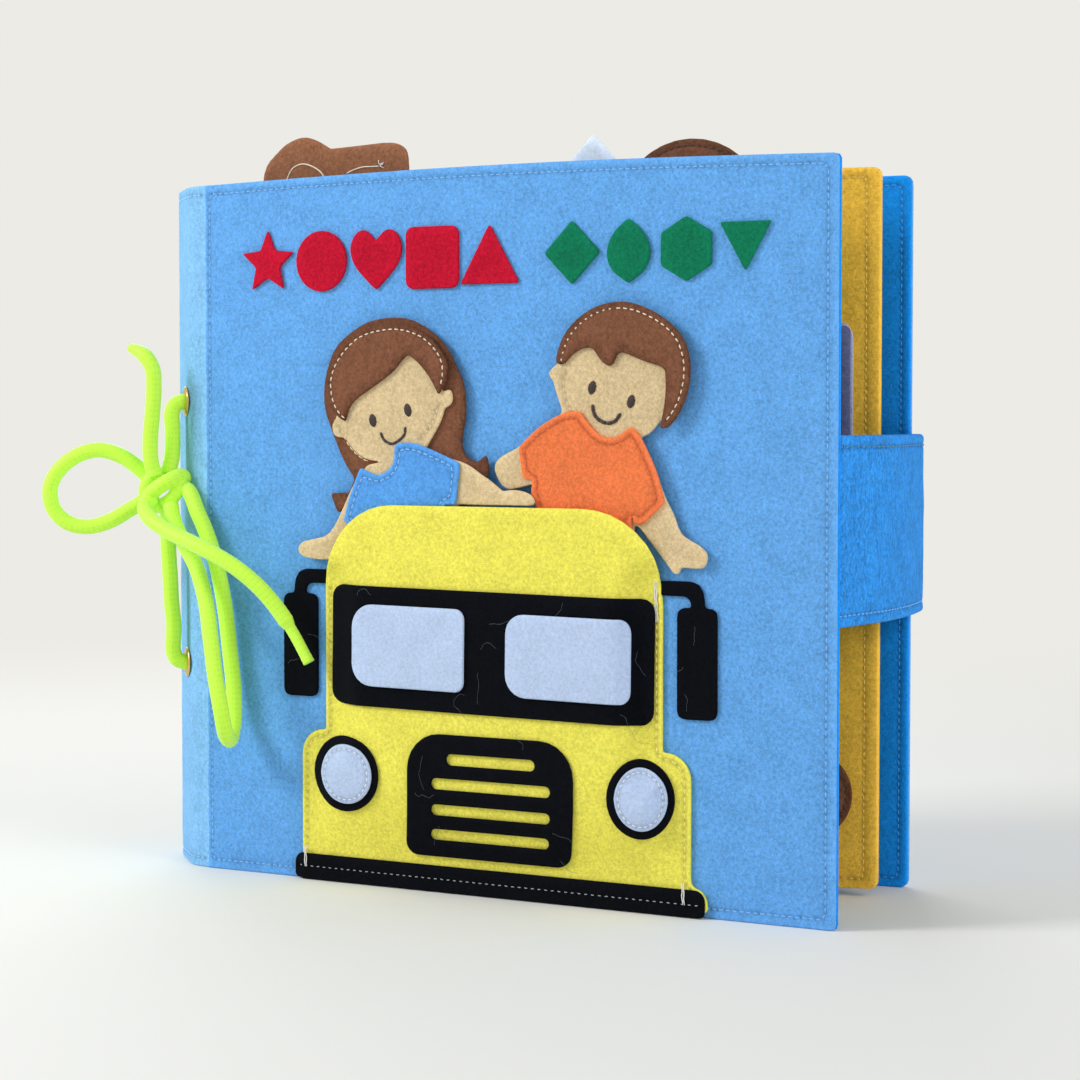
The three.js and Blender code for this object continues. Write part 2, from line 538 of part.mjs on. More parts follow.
const girlBodyShares = [
  [[0.205, 0.708], [0.162, 0.712], [0.15, 0.736], [0.17, 0.757]],
  [[0.16, 0.83], [0.215, 0.905], [0.32, 0.945], [0.43, 0.95], [0.54, 0.92], [0.59, 0.865], [0.606, 0.815]],
  [[0.64, 0.82], [0.649, 0.798], [0.637, 0.783], [0.616, 0.777]],
  [[0.597, 0.743], [0.551, 0.696]],
  [[0.53, 0.672]],
  [[0.6, 0.665], [0.68, 0.655], [0.745, 0.638], [0.8, 0.612], [0.835, 0.59]],
  [[0.835, 0.556]], [[0.67, 0.556]], [[0.62, 0.5]],
  [[0.6, 0.36], [0.61, 0.2], [0.6, 0.05], [0.57, 0.01], [0.5, 0.01], [0.46, 0.05], [0.43, 0.22]],
  [[0.4, 0.05], [0.36, 0.01], [0.29, 0.01], [0.27, 0.05], [0.27, 0.2], [0.28, 0.36], [0.27, 0.46]],
  [[0.2, 0.43], [0.121, 0.42], [0.037, 0.423], [0.004, 0.435], [0.006, 0.452], [0.035, 0.464], [0.121, 0.476],
    [0.165, 0.507], [0.204, 0.555], [0.25, 0.61], [0.3, 0.645]],
  [[0.353, 0.652]], [[0.322, 0.655]],
  [[0.275, 0.662], [0.228, 0.686], [0.205, 0.708]],
];
const girlHandShares = [
  [[0.72, 0.64], [0.76, 0.63], [0.807, 0.613], [0.858, 0.588]],
  [[0.9, 0.592], [0.95, 0.587], [0.978, 0.576], [0.985, 0.562], [0.968, 0.556]],
  [[0.72, 0.556]],
];
const girlBendShares = [[[0.72, 0.56], [0.72, 0.636]], [[0.775, 0.618]], [[0.775, 0.56]]];
const girlShirtShares = [
  [[0.276, 0.639], [0.323, 0.626], [0.354, 0.622], [0.392, 0.633], [0.415, 0.652], [0.419, 0.678], [0.419, 0.691]],
  [[0.454, 0.698], [0.515, 0.694], [0.598, 0.675], [0.684, 0.652]],
  [[0.668, 0.554]], [[0.627, 0.556]], [[0.615, 0.5]], [[0.62, 0.36]], [[0.25, 0.36]], [[0.262, 0.488]],
  [[0.205, 0.512]],
  [[0.229, 0.565], [0.253, 0.604], [0.276, 0.639]],
];
const boyBodyShares = [
  [[0.298, 0.848], [0.265, 0.83], [0.286, 0.814]],
  [[0.302, 0.786], [0.328, 0.749]],
  [[0.3, 0.728], [0.232, 0.705], [0.126, 0.668], [0.05, 0.648], [0.017, 0.628], [0.03, 0.6], [0.079, 0.574],
    [0.19, 0.587]],
  [[0.235, 0.57]],
  [[0.25, 0.36], [0.25, 0.2], [0.27, 0.05], [0.3, 0.02], [0.4, 0.02], [0.43, 0.05], [0.45, 0.22]],
  [[0.48, 0.05], [0.51, 0.02], [0.61, 0.02], [0.64, 0.05], [0.65, 0.2], [0.645, 0.36], [0.65, 0.5]],
  [[0.671, 0.499], [0.72, 0.468], [0.793, 0.421], [0.825, 0.4], [0.845, 0.4], [0.857, 0.414]],
  [[0.932, 0.412], [0.96, 0.418], [0.968, 0.444], [0.928, 0.463], [0.856, 0.485], [0.824, 0.525], [0.784, 0.564],
    [0.735, 0.63], [0.69, 0.68]],
  [[0.678, 0.69], [0.719, 0.7], [0.771, 0.729], [0.84, 0.76], [0.87, 0.84], [0.835, 0.905], [0.74, 0.95],
    [0.6, 0.965], [0.45, 0.95], [0.36, 0.905], [0.33, 0.86]],
];
const boyHairShares = [
  [[0.307, 0.85], [0.311, 0.87], [0.341, 0.91], [0.399, 0.945], [0.482, 0.972], [0.572, 0.982], [0.645, 0.979],
    [0.726, 0.964], [0.807, 0.937], [0.87, 0.902], [0.898, 0.858], [0.899, 0.815], [0.883, 0.776], [0.847, 0.737],
    [0.808, 0.714], [0.765, 0.698]],
  [[0.779, 0.733], [0.791, 0.769], [0.795, 0.808], [0.791, 0.837]],
  [[0.759, 0.845], [0.71, 0.852], [0.662, 0.862], [0.601, 0.874], [0.58, 0.868], [0.564, 0.848], [0.544, 0.843]],
  [[0.511, 0.855], [0.482, 0.877], [0.461, 0.885], [0.407, 0.879], [0.362, 0.86], [0.345, 0.848]],
];
const boyShirtShares = [
  [[0.416, 0.747], [0.441, 0.729], [0.482, 0.705], [0.524, 0.691], [0.565, 0.69], [0.601, 0.698], [0.63, 0.711]],
  [[0.654, 0.71], [0.687, 0.69], [0.727, 0.65], [0.76, 0.611], [0.792, 0.552]],
  [[0.696, 0.506]], [[0.659, 0.503]], [[0.647, 0.523]], [[0.645, 0.35]], [[0.24, 0.35]], [[0.219, 0.535]],
  [[0.193, 0.571]], [[0.202, 0.596]], [[0.157, 0.599]], [[0.136, 0.668]],
  [[0.232, 0.713], [0.341, 0.743], [0.416, 0.747]],
];

function buildDolls() {
  add('girl_hair_back', sheet(figureOutline(girl, girlHairBackShares), felt.craft, layer.first), tones.brown);
  const body = sheet(figureOutline(girl, girlBodyShares), felt.craft, layer.second);
  const hand = sheet(figureOutline(girl, girlHandShares), felt.craft, layer.hand);
  const bend = sheet(figureOutline(girl, girlBendShares), felt.craft + gap.slip + felt.craft, layer.second - gap.slip);
  add('girl_body', join(body, hand, bend), tones.skin);
  add('girl_hair_front', sheet(figureOutline(girl, girlHairFrontShares), felt.craft, layer.third), tones.brown);
  add('girl_shirt', sheet(figureOutline(girl, girlShirtShares), felt.craft, layer.third), tones.shirtBlue);

  add('boy_body', sheet(figureOutline(boy, boyBodyShares), felt.craft, layer.first), tones.skin);
  add('boy_hair', sheet(figureOutline(boy, boyHairShares), felt.craft, layer.second), tones.brown);
  add('boy_shirt', sheet(figureOutline(boy, boyShirtShares), felt.craft, layer.second), tones.shirtOrange);
}

// The lace: stretches of one round cord, each along points chosen by hand.
function cordAlong(points, steps) {
  const path = new THREE.CatmullRomCurve3(points.map((p) => new THREE.Vector3(...p)), false, 'centripetal');
  const section = new THREE.Shape().absarc(0, 0, cord.diameter / 2, 0, 2 * Math.PI);
  const { curveSegments } = cord;
  return new THREE.ExtrudeGeometry(section, { steps, bevelEnabled: false, curveSegments, extrudePath: path });
}

const knot = { x: -14.5, y: -1.4, z: 122.5, radius: 6.1, rings: 8, sides: 14 };

const cordRoutes = {
  upper_lead: [[-8.79, 7.99, 151], [-10.2, 6.5, 151], [-11.68, 4.94, 151], [-12.37, 4.21, 151], [-14.21, 2.26, 149.9],
    [-14.98, 1.45, 147.2], [-14.6, 1.3, 142], [-14.4, 1, 137], [-14.4, 0.5, 132.6], [-14.5, -0.7, 129.1]],
  lower_lead: [[-8.79, 7.99, 66], [-10.2, 6.5, 66], [-11.68, 4.94, 66], [-12.37, 4.21, 66], [-14.21, 2.26, 67.1],
    [-14.98, 1.45, 69.8], [-14.3, 0.9, 78], [-14.9, 0.5, 86], [-15.2, 0.3, 94], [-15.7, 0.2, 102], [-15.7, -0.1, 110],
    [-15, -0.9, 115.9]],
  left_loop: [[-20.9, -2.6, 125.8], [-24, -3.9, 129], [-29.4, -6.6, 133.2], [-35.6, -10, 135.2], [-41.6, -13.4, 133.6],
    [-47, -16.4, 129], [-49.6, -18, 123.2], [-48.8, -17.6, 116.2], [-45, -15.2, 111.6], [-39.4, -12, 110.2],
    [-33, -8.6, 112], [-27.4, -5.6, 115.6], [-21.4, -2.8, 119.4]],
  hanging_loop: [[-7.6, -1.7, 122.7], [-6.1, -1.9, 122.3], [-4, -2.6, 120.2], [-1.2, -3.5, 115.6],
    [1.8, -3.9, 110.7], [5.2, -4, 103], [8, -4.2, 94.6], [10.4, -4.4, 84], [12, -4.4, 72], [13.6, -4.6, 60],
    [15, -6.4, 49.6], [17.4, -11.6, 44], [19.8, -17.4, 46.6], [20.4, -20.4, 54], [18, -20, 64],
    [14.4, -17.6, 76], [10.6, -15, 87.6], [4.8, -12, 98], [-3, -9, 106.4], [-8.8, -6.4, 113.4],
    [-10.9, -4.6, 117.4]],
  upper_tail: [[-16, -6, 127.2], [-16.7, -6.8, 129.8], [-17.2, -7.1, 134], [-17, -7.2, 140],
    [-16, -7.4, 147.4], [-15.2, -7.6, 155.4], [-15.4, -8, 161.4], [-18.6, -8.2, 165.8], [-24.4, -8.2, 168.4]],
  long_tail: [[-17.3, -6.8, 119.6], [-17.2, -10, 117], [-12, -14, 113.4], [-3, -16.2, 109.6], [6.6, -17.4, 106.4],
    [16.4, -17.4, 102.6], [24, -15.8, 98.2], [30.2, -13, 92.4], [35, -10, 85.6], [39.4, -7.8, 78], [44.4, -6.8, 69.2]],
};

const bindingHalf = [[-8.59, 8.21], [-8.2, 8.62], [-6.79, 10.84], [-6.3, 13.43], [-6.3, 21.5], [-6.3, 29.5],
  [-6.3, 37.5], [-6.3, 45.57], [-6.79, 48.16], [-8.2, 50.38], [-9.9, 52.2], [-11.68, 54.06]];
const bindingRoute = [
  ...bindingHalf.map(([x, y]) => [x, y, 151]),
  [-12.5, 54.93, 151], [-14.54, 57.09, 149.8], [-15.39, 57.99, 146.8], [-15.39, 57.99, 127], [-15.39, 57.99, 108.5],
  [-15.39, 57.99, 90], [-15.39, 57.99, 70.2], [-14.54, 57.09, 67.2], [-12.5, 54.93, 66],
  ...bindingHalf.slice().reverse().map(([x, y]) => [x, y, 66]),
];

const cordSteps = {
  upper_lead: 12, lower_lead: 14, left_loop: 18, hanging_loop: 26, upper_tail: 10, long_tail: 14, binding_cord: 44,
};

function buildLace() {
  const place = { into: looseCord, roughness: 0.5 };
  for (const [name, points] of Object.entries(cordRoutes)) {
    add(name, cordAlong(points, cordSteps[name]), tones.cord, place);
  }
  const profile = Array.from({ length: knot.rings + 1 }, (_, i) => {
    const angle = -Math.PI / 2 + Math.PI * i / knot.rings;
    const r = i === 0 || i === knot.rings ? 0 : knot.radius * Math.cos(angle);
    return new THREE.Vector2(r, knot.radius * Math.sin(angle));
  });
  const ball = new THREE.LatheGeometry(profile, knot.sides);
  ball.rotateX(Math.PI / 2);
  ball.translate(knot.x, knot.y, knot.z);
  add('bow_knot', ball, tones.cord, place);
  add('binding_cord', cordAlong(bindingRoute, cordSteps.binding_cord), tones.cord, { roughness: 0.5 });
}

buildSpine();
buildFrontCover();
buildBackCover();
buildStrap();
buildPages();
buildLoosePieces();
buildTitleShapes();
buildBus();
buildMirrors();
buildDolls();
buildLace();

// The origin is under the middle of the book, measured without its bow.
book.updateMatrixWorld(true);
const middle = new THREE.Box3().setFromObject(book, true).getCenter(new THREE.Vector3());
const whole = new THREE.Group();
whole.add(book, looseCord);
whole.position.set(-middle.x, -middle.y, 0);
whole.updateMatrixWorld(true);

export default whole;
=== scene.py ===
"""A felt quiet book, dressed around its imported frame.

The book stands half open on its spine and covers. Its pieces are cut felt sheets with soft edges, sewn with
rows of machine stitches, and a braided lace tied in a bow. Everything is laid out in millimetres from the
front cover's lower corner at the spine: x runs to the fore edge, y to the back cover, z upwards. A flat place
has u along its sheet and v upwards.
"""
from __future__ import annotations

import logging
import math
from dataclasses import dataclass, field
from enum import Enum
from functools import lru_cache
from typing import Callable, Sequence

import bmesh
import bpy
import numpy as np
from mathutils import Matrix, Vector, geometry, kdtree, noise


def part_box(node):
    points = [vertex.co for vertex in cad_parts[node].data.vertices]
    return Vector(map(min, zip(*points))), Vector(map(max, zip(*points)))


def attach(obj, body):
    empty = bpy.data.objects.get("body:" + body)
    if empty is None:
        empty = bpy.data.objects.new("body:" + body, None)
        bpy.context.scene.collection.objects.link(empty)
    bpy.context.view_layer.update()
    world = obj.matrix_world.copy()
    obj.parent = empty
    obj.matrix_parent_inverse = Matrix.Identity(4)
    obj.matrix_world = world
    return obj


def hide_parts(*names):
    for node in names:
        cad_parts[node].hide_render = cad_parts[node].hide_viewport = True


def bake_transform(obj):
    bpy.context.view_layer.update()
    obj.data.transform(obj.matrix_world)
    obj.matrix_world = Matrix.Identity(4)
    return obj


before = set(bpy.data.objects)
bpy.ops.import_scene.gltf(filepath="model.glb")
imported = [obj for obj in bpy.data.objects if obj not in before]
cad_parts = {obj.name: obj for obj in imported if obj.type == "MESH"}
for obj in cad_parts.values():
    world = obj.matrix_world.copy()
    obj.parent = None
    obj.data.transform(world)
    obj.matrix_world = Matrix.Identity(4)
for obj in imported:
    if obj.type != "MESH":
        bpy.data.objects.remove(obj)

LOG = logging.getLogger("quiet_book")
MM = 0.001
CORNER = np.array(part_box("front_cover_outer")[0])
TURN = 2 * math.pi
SMALL = 1e-9

Flat = np.ndarray
Faces = list[list[int]]
Wrap = Callable[[np.ndarray, np.ndarray], np.ndarray]
Socket = bpy.types.NodeSocket


def in_frame(points: np.ndarray) -> np.ndarray:
    """Turn places in the book's own millimetres into metres in the frame.

    Args:
        points: the places, from the front cover's lower corner.

    Returns:
        The same places in metres.
    """
    return np.asarray(points, float) * MM + CORNER


def linear(hex_colour: str) -> tuple[float, float, float, float]:
    """Turn an sRGB hex colour into linear red, green, blue and alpha.

    Args:
        hex_colour: six hex digits, such as "6fb2f0".

    Returns:
        The colour in linear light, with an alpha of 1.
    """
    channels = [int(hex_colour[i:i + 2], 16) / 255 for i in (0, 2, 4)]
    return (*(c / 12.92 if c <= 0.04045 else ((c + 0.055) / 1.055) ** 2.4 for c in channels), 1.0)


def add_node(tree: bpy.types.NodeTree, kind: str, settings: dict | None = None,
             links: dict | None = None) -> bpy.types.Node:
    """Add a shader node with its settings and links.

    Args:
        tree: the node tree.
        kind: the node's type name.
        settings: values by socket index or name, or by property name.
        links: output sockets by the name or index of the input that they feed.

    Returns:
        The new node.
    """
    node = tree.nodes.new(kind)
    for key, value in (settings or {}).items():
        if isinstance(key, int) or key in node.inputs:
            node.inputs[key].default_value = value
        else:
            setattr(node, key, value)
    for key, socket in (links or {}).items():
        tree.links.new(socket, node.inputs[key])
    return node


class Shading:
    """A new material, built from the few kinds of node that the finishes share."""

    def __init__(self, name: str) -> None:
        """Start the material with its place coordinates.

        Args:
            name: the material's name.
        """
        self.material = bpy.data.materials.new(name)
        self.material.use_nodes = True
        self.tree = self.material.node_tree
        self.tree.nodes.clear()
        self.place = add_node(self.tree, "ShaderNodeTexCoord").outputs["Object"]

    def noise(self, grain: float, detail: float, place: Socket | None = None, **settings: float) -> Socket:
        """Return noise whose grains have a size in millimetres."""
        return add_node(self.tree, "ShaderNodeTexNoise", {"Scale": 1 / (grain * MM), "Detail": detail, **settings},
                        {"Vector": place or self.place}).outputs["Fac"]

    def spread(self, value: Socket, low: float, high: float, least: float, most: float) -> Socket:
        """Return a value spread from the range low to high over the range least to most."""
        ends = {"From Min": low, "From Max": high, "To Min": least, "To Max": most}
        return add_node(self.tree, "ShaderNodeMapRange", ends, {"Value": value}).outputs["Result"]

    def maths(self, operation: str, *values: Socket | float) -> Socket:
        """Work a value out from others.

        Args:
            operation: the kind of sum.
            values: its inputs, each a socket or a number with a decimal point.

        Returns:
            The result's socket.
        """
        numbers = {k: value for k, value in enumerate(values) if isinstance(value, float)}
        links = {k: value for k, value in enumerate(values) if k not in numbers}
        return add_node(self.tree, "ShaderNodeMath", {"operation": operation, **numbers}, links).outputs[0]

    def blended(self, first: Socket, second: Socket, share: float) -> Socket:
        """Return a blend of two values, with the second one's share."""
        return add_node(self.tree, "ShaderNodeMix", {"data_type": "FLOAT", "Factor": share},
                        {2: first, 3: second}).outputs[0]

    def mark(self, name: str) -> Socket:
        """Return a value that the mesh carries for each of its places."""
        return add_node(self.tree, "ShaderNodeAttribute", {"attribute_name": name}).outputs["Fac"]

    def finish(self, colour: str, shade: Socket, height: Socket, strength: float, depth: float,
               settings: dict) -> bpy.types.Material:
        """Close the material with a shaded colour and a bump.

        Args:
            colour: the sRGB hex colour.
            shade: how much lighter or darker it is at each place.
            height: the bump's height at each place.
            strength: the bump's strength.
            depth: the bump's depth in millimetres.
            settings: the surface's other values.

        Returns:
            The material.
        """
        base = add_node(self.tree, "ShaderNodeRGB").outputs[0]
        base.default_value = linear(colour)
        tinted = add_node(self.tree, "ShaderNodeVectorMath", {"operation": "SCALE"}, {0: base, "Scale": shade})
        bump = add_node(self.tree, "ShaderNodeBump", {"Strength": strength, "Distance": depth * MM},
                        {"Height": height})
        shader = add_node(self.tree, "ShaderNodeBsdfPrincipled", settings,
                          {"Base Color": tinted.outputs[0], "Normal": bump.outputs["Normal"]})
        add_node(self.tree, "ShaderNodeOutputMaterial", links={"Surface": shader.outputs[0]})
        return self.material


@dataclass(frozen=True)
class Felt:
    """Needle-punched felt: matted staple fibre, with no weave and a soft nap.

    The eye gets a mottled, wholly matt colour with a faint halo of loose fibre at grazing angles. Real fibres are
    0.02 mm thick; they are drawn as strands of 0.4 mm, in three directions, so that they show. Each spread holds
    the low and high end of a grain and its share of the mottling: clumps, fibres, fine grain and cloud. Painted
    light is laid over the colour: a painted highlight along each cut edge, as if light caught it, whose share is
    the rim (a negative rim paints shade there instead), and painted shade in the grooves that the seams pull in.
    """

    name: str
    colour: str
    slot: str
    mottle: float = 0.17
    # rim: share of painted highlight along the cut edges; a negative share is painted shade there.
    rim: float = 0.16
    sheen: float = 0.3
    clump: float = 1.1
    fibre: float = 0.4
    fibre_turns: tuple[float, float, float] = (0.5, 1.55, 2.6)
    fibre_stretch: float = 7.0
    halo: float = 0.0
    fine: float = 0.42
    cloud: float = 9.0
    # Painted shade in the grooves that the seams pull in.
    groove_painted_shade: float = -0.3
    spreads: tuple[tuple[float, float, float], ...] = ((0.36, 0.64, 0.8), (0.48, 0.72, 0.75), (0.34, 0.66, 0.6),
                                                       (0.32, 0.68, 0.3))

    @lru_cache(maxsize=None)
    def material(self) -> bpy.types.Material:
        """Build the material once, with a clumped, streaked colour and a fibrous bump.

        Returns:
            The material.
        """
        nap = Shading(self.name)
        clumps = nap.noise(self.clump, 4.0, Roughness=0.62)
        cloud = nap.noise(self.cloud, 2.0)
        fine = nap.noise(self.fine, 3.0, Roughness=0.7)
        fibres = None
        for turn in self.fibre_turns:
            across = add_node(nap.tree, "ShaderNodeMapping",
                              {"vector_type": "TEXTURE", "Rotation": (0.0, turn, 0.3),
                               "Scale": (1.0, 1.0, self.fibre_stretch)}, {"Vector": nap.place}).outputs["Vector"]
            strand = nap.noise(self.fibre, 2.0, across, Distortion=0.8)
            fibres = nap.maths("MAXIMUM", fibres, strand) if fibres else strand
        shade = None
        for grain, (low, high, share) in zip((clumps, fibres, fine, cloud), self.spreads):
            middle, reach = 0.0 if shade else 1.0, share * self.mottle
            part = nap.spread(grain, low, high, middle - reach, middle + reach)
            shade = nap.maths("ADD", shade, part) if shade else part
        # Painted highlight along the cut edges, from the rim mark; painted shade there where the rim share is
        # negative.
        shade = nap.maths("MULTIPLY_ADD", nap.mark("rim"), self.rim, shade)
        # Painted shade in the seam grooves, from the dent mark.
        shade = nap.maths("MULTIPLY_ADD", nap.mark("dent"), self.groove_painted_shade, shade)
        height = nap.blended(nap.blended(clumps, fibres, 0.45), fine, 0.35)
        tint = np.array(linear(self.colour))
        return nap.finish(self.colour, shade, height, 0.85, 0.5,
                          {"Roughness": 0.96, "Sheen Weight": self.sheen, "Sheen Roughness": 0.6,
                           "Specular IOR Level": 0.1, "Sheen Tint": tuple(tint + (1 - tint) * self.halo)})


@dataclass(frozen=True)
class Smooth:
    """A smoother finish with a fine grain: twisted polyester sewing thread, unless it is said to be metallic."""

    name: str
    colour: str
    slot: str
    roughness: float = 0.55
    sheen: float = 0.25
    metallic: float = 0.0
    grain: float = 0.5

    @lru_cache(maxsize=None)
    def material(self) -> bpy.types.Material:
        """Build the material once, with a fine grain in its colour and its bump.

        Returns:
            The material.
        """
        surface = Shading(self.name)
        grain = surface.noise(self.grain, 3.0)
        return surface.finish(self.colour, surface.spread(grain, 0.3, 0.7, 0.88, 1.1), grain, 0.25, 0.1,
                              {"Roughness": self.roughness, "Metallic": self.metallic, "Sheen Weight": self.sheen})


@dataclass(frozen=True)
class Braid:
    """Braided polyester lace in a fluorescent lime, of satin yarn, with a faint painted glow in its own colour that
    lightens its shaded side as the dye's fluorescence does.
    """

    name: str = "lime_braided_polyester"
    colour: str = "c0f53c"
    slot: str = "lime_cord"
    yarn: float = 0.55
    # Painted shade in the creases between the yarns.
    crease_painted_shade: float = -0.14
    # Strength of the painted glow in the cord's own colour, standing in for the dye's fluorescence.
    glow: float = 0.12

    @lru_cache(maxsize=None)
    def material(self) -> bpy.types.Material:
        """Build the material once, with painted shade in the creases between its yarns and a faint painted glow.

        Returns:
            The material.
        """
        satin = Shading(self.name)
        fuzz = satin.noise(self.yarn, 3.0)
        tone = satin.spread(fuzz, 0.3, 0.7, 0.94, 1.05)
        # Painted shade in the creases between the yarns, from the dent mark.
        shade = satin.maths("MULTIPLY_ADD", satin.mark("dent"), self.crease_painted_shade, tone)
        # The emission is a painted glow, not a lamp.
        return satin.finish(self.colour, shade, fuzz, 0.3, 0.1,
                            {"Roughness": 0.6, "Sheen Weight": 0.3, "Emission Strength": self.glow,
                             "Emission Color": linear(self.colour)})


class Felts(Enum):
    """The felts that the book is cut from."""

    # Each felt's rim share paints a highlight along its cut edges; a negative share paints shade there.
    SKY = Felt("sky_blue_felt", "67a8e9", "sky_felt")
    # Painted light: a paler copy of the cover's sky blue for the spine's bend, standing in for the extra light on the
    # side that faces the key lamp.
    BAND = Felt("pale_blue_felt", "86c0f0", "pale_blue_felt")
    STRAP = Felt("brushed_blue_loop_felt", "3093ea", "strap_felt", 0.3, sheen=0.35, fibre=0.7,
                 fibre_turns=(0.1, -0.25, 0.4), halo=0.12)
    DEEP = Felt("deep_blue_felt", "1a90f0", "deep_blue_felt")
    CREAM = Felt("cream_felt", "efe2ae", "cream_felt")
    MINT = Felt("mint_felt", "9fd3b6", "mint_felt")
    # A stronger painted highlight along the page's edges, for its brightly lit top rim.
    AMBER = Felt("amber_felt", "eebb46", "amber_felt", rim=0.25)
    YELLOW = Felt("bus_yellow_felt", "efe65e", "yellow_felt", mottle=0.13, rim=0.08)
    BLACK = Felt("black_felt", "06080f", "black_felt", mottle=0.4, rim=0.3, sheen=0.06)
    WINDOW = Felt("ice_blue_felt", "bbcdec", "window_felt", mottle=0.1, rim=0.05)
    RED = Felt("red_felt", "be1430", "red_felt", mottle=0.2)
    GREEN = Felt("green_felt", "0f7552", "green_felt", mottle=0.2)
    # Its cut edges are painted darker: partly a scorched cut edge, partly painted shade where the hair meets the
    # face.
    BROWN = Felt("chestnut_felt", "80543e", "brown_felt", mottle=0.2, rim=-0.35)
    NUT = Felt("light_chestnut_felt", "966549", "brown_felt", mottle=0.2)
    SKIN = Felt("biscuit_felt", "d8c095", "skin_felt", mottle=0.15)
    SHIRT = Felt("cornflower_felt", "5a9fe8", "shirt_blue_felt")
    ORANGE = Felt("orange_felt", "f07d4a", "orange_felt", mottle=0.14)
    GREY = Felt("grey_felt", "a2a5b8", "grey_felt")
    ICE = Felt("white_felt", "dfeaf3", "ice_felt", mottle=0.08)
    SLATE = Felt("slate_felt", "686c98", "grey_felt")
    OLIVE = Felt("olive_lime_felt", "b9b13a", "amber_felt")


class Threads(Enum):
    """The sewing threads."""

    SKY = Smooth("sky_blue_thread", "80bdf4", "sky_felt")
    BAND = Smooth("pale_blue_edge_thread", "a2d0f8", "pale_blue_felt")
    STRAP = Smooth("bright_blue_thread", "6cb4f2", "strap_felt")
    TEAL = Smooth("teal_thread", "2c7fae", "strap_felt")
    MINT = Smooth("mint_thread", "b8e2ca", "mint_felt")
    GREY = Smooth("grey_thread", "a4abb5", "grey_felt")
    LINT = Smooth("pale_lint", "4c5666", "black_felt")
    DEEP = Smooth("mid_blue_thread", "3c94e2", "deep_blue_felt")
    AMBER = Smooth("amber_thread", "eec25c", "amber_felt")
    CREAM = Smooth("cream_thread", "efe2c8", "cream_felt")
    YELLOW = Smooth("yellow_thread", "f6ea86", "yellow_felt")
    WHITE = Smooth("white_thread", "e9e6e2", "ice_felt")
    ICE = Smooth("ice_blue_thread", "e4ecfa", "window_felt")
    RUST = Smooth("rust_thread", "cf4f22", "orange_felt")
    SKIN = Smooth("biscuit_thread", "ead6ae", "skin_felt")
    SHIRT = Smooth("pale_blue_thread", "8fc4f4", "shirt_blue_felt")
    CHESTNUT = Smooth("dark_brown_thread", "2a1710", "brown_felt")


BRASS = Smooth("rolled_brass", "d3b872", "brass_eyelet", roughness=0.28, sheen=0.0, metallic=1.0)
LIME = Braid()


def nearest(points: Flat, targets: Flat) -> np.ndarray:
    """Measure how far flat points lie from the nearest of other flat points.

    Args:
        points: the places to measure from.
        targets: the places to measure to.

    Returns:
        One distance for each point.
    """
    tree = kdtree.KDTree(len(targets))
    for index, (u, v) in enumerate(targets):
        tree.insert((u, v, 0.0), index)
    tree.balance()
    return np.array([tree.find((u, v, 0.0))[2] for u, v in points])


def unit(vectors: np.ndarray) -> np.ndarray:
    """Return vectors made 1 long."""
    return vectors / np.maximum(np.linalg.norm(vectors, axis=-1, keepdims=True), SMALL)


def leftward(ways: np.ndarray) -> np.ndarray:
    """Return the flat directions at the left of others."""
    return np.stack([-ways[..., 1], ways[..., 0]], axis=-1)


def polar(angles: np.ndarray | float, radius: np.ndarray | float = 1.0) -> np.ndarray:
    """Return flat places round the origin, by their angles in radians."""
    return np.stack([radius * np.cos(angles), radius * np.sin(angles)], axis=-1)


def run_of(path: np.ndarray) -> np.ndarray:
    """Return how far along a path each of its places lies."""
    return np.concatenate([[0.0], np.cumsum(np.linalg.norm(np.diff(path, axis=0), axis=1))])


def read_off(run: np.ndarray | float, along: np.ndarray, values: np.ndarray) -> np.ndarray:
    """Return a path's values at other distances along it."""
    return np.stack([np.interp(run, along, column) for column in values.T], axis=-1)


def upright(flat: Flat, y: np.ndarray | float) -> np.ndarray:
    """Stand flat places up in the book, at one y or one each."""
    return np.column_stack([flat[:, 0], np.broadcast_to(y, len(flat)), flat[:, 1]])


def ease(values: np.ndarray) -> np.ndarray:
    """Rise smoothly from 0 to 1 as the values do."""
    share = np.clip(values, 0, 1)
    return share * share * (3 - 2 * share)


def resample(path: Flat, step: float, closed: bool = False) -> Flat:
    """Space places evenly along a path.

    Args:
        path: places along the path.
        step: the spacing wanted.
        closed: whether the path returns to its start.

    Returns:
        Evenly spaced places, without the start again where the path is closed.
    """
    line = np.vstack([path, path[:1]]) if closed else np.asarray(path, float)
    along = run_of(line)
    stops = np.linspace(0.0, along[-1], max(3, round(along[-1] / step)) + 1)
    spaced = read_off(stops, along, line)
    return spaced[:-1] if closed else spaced


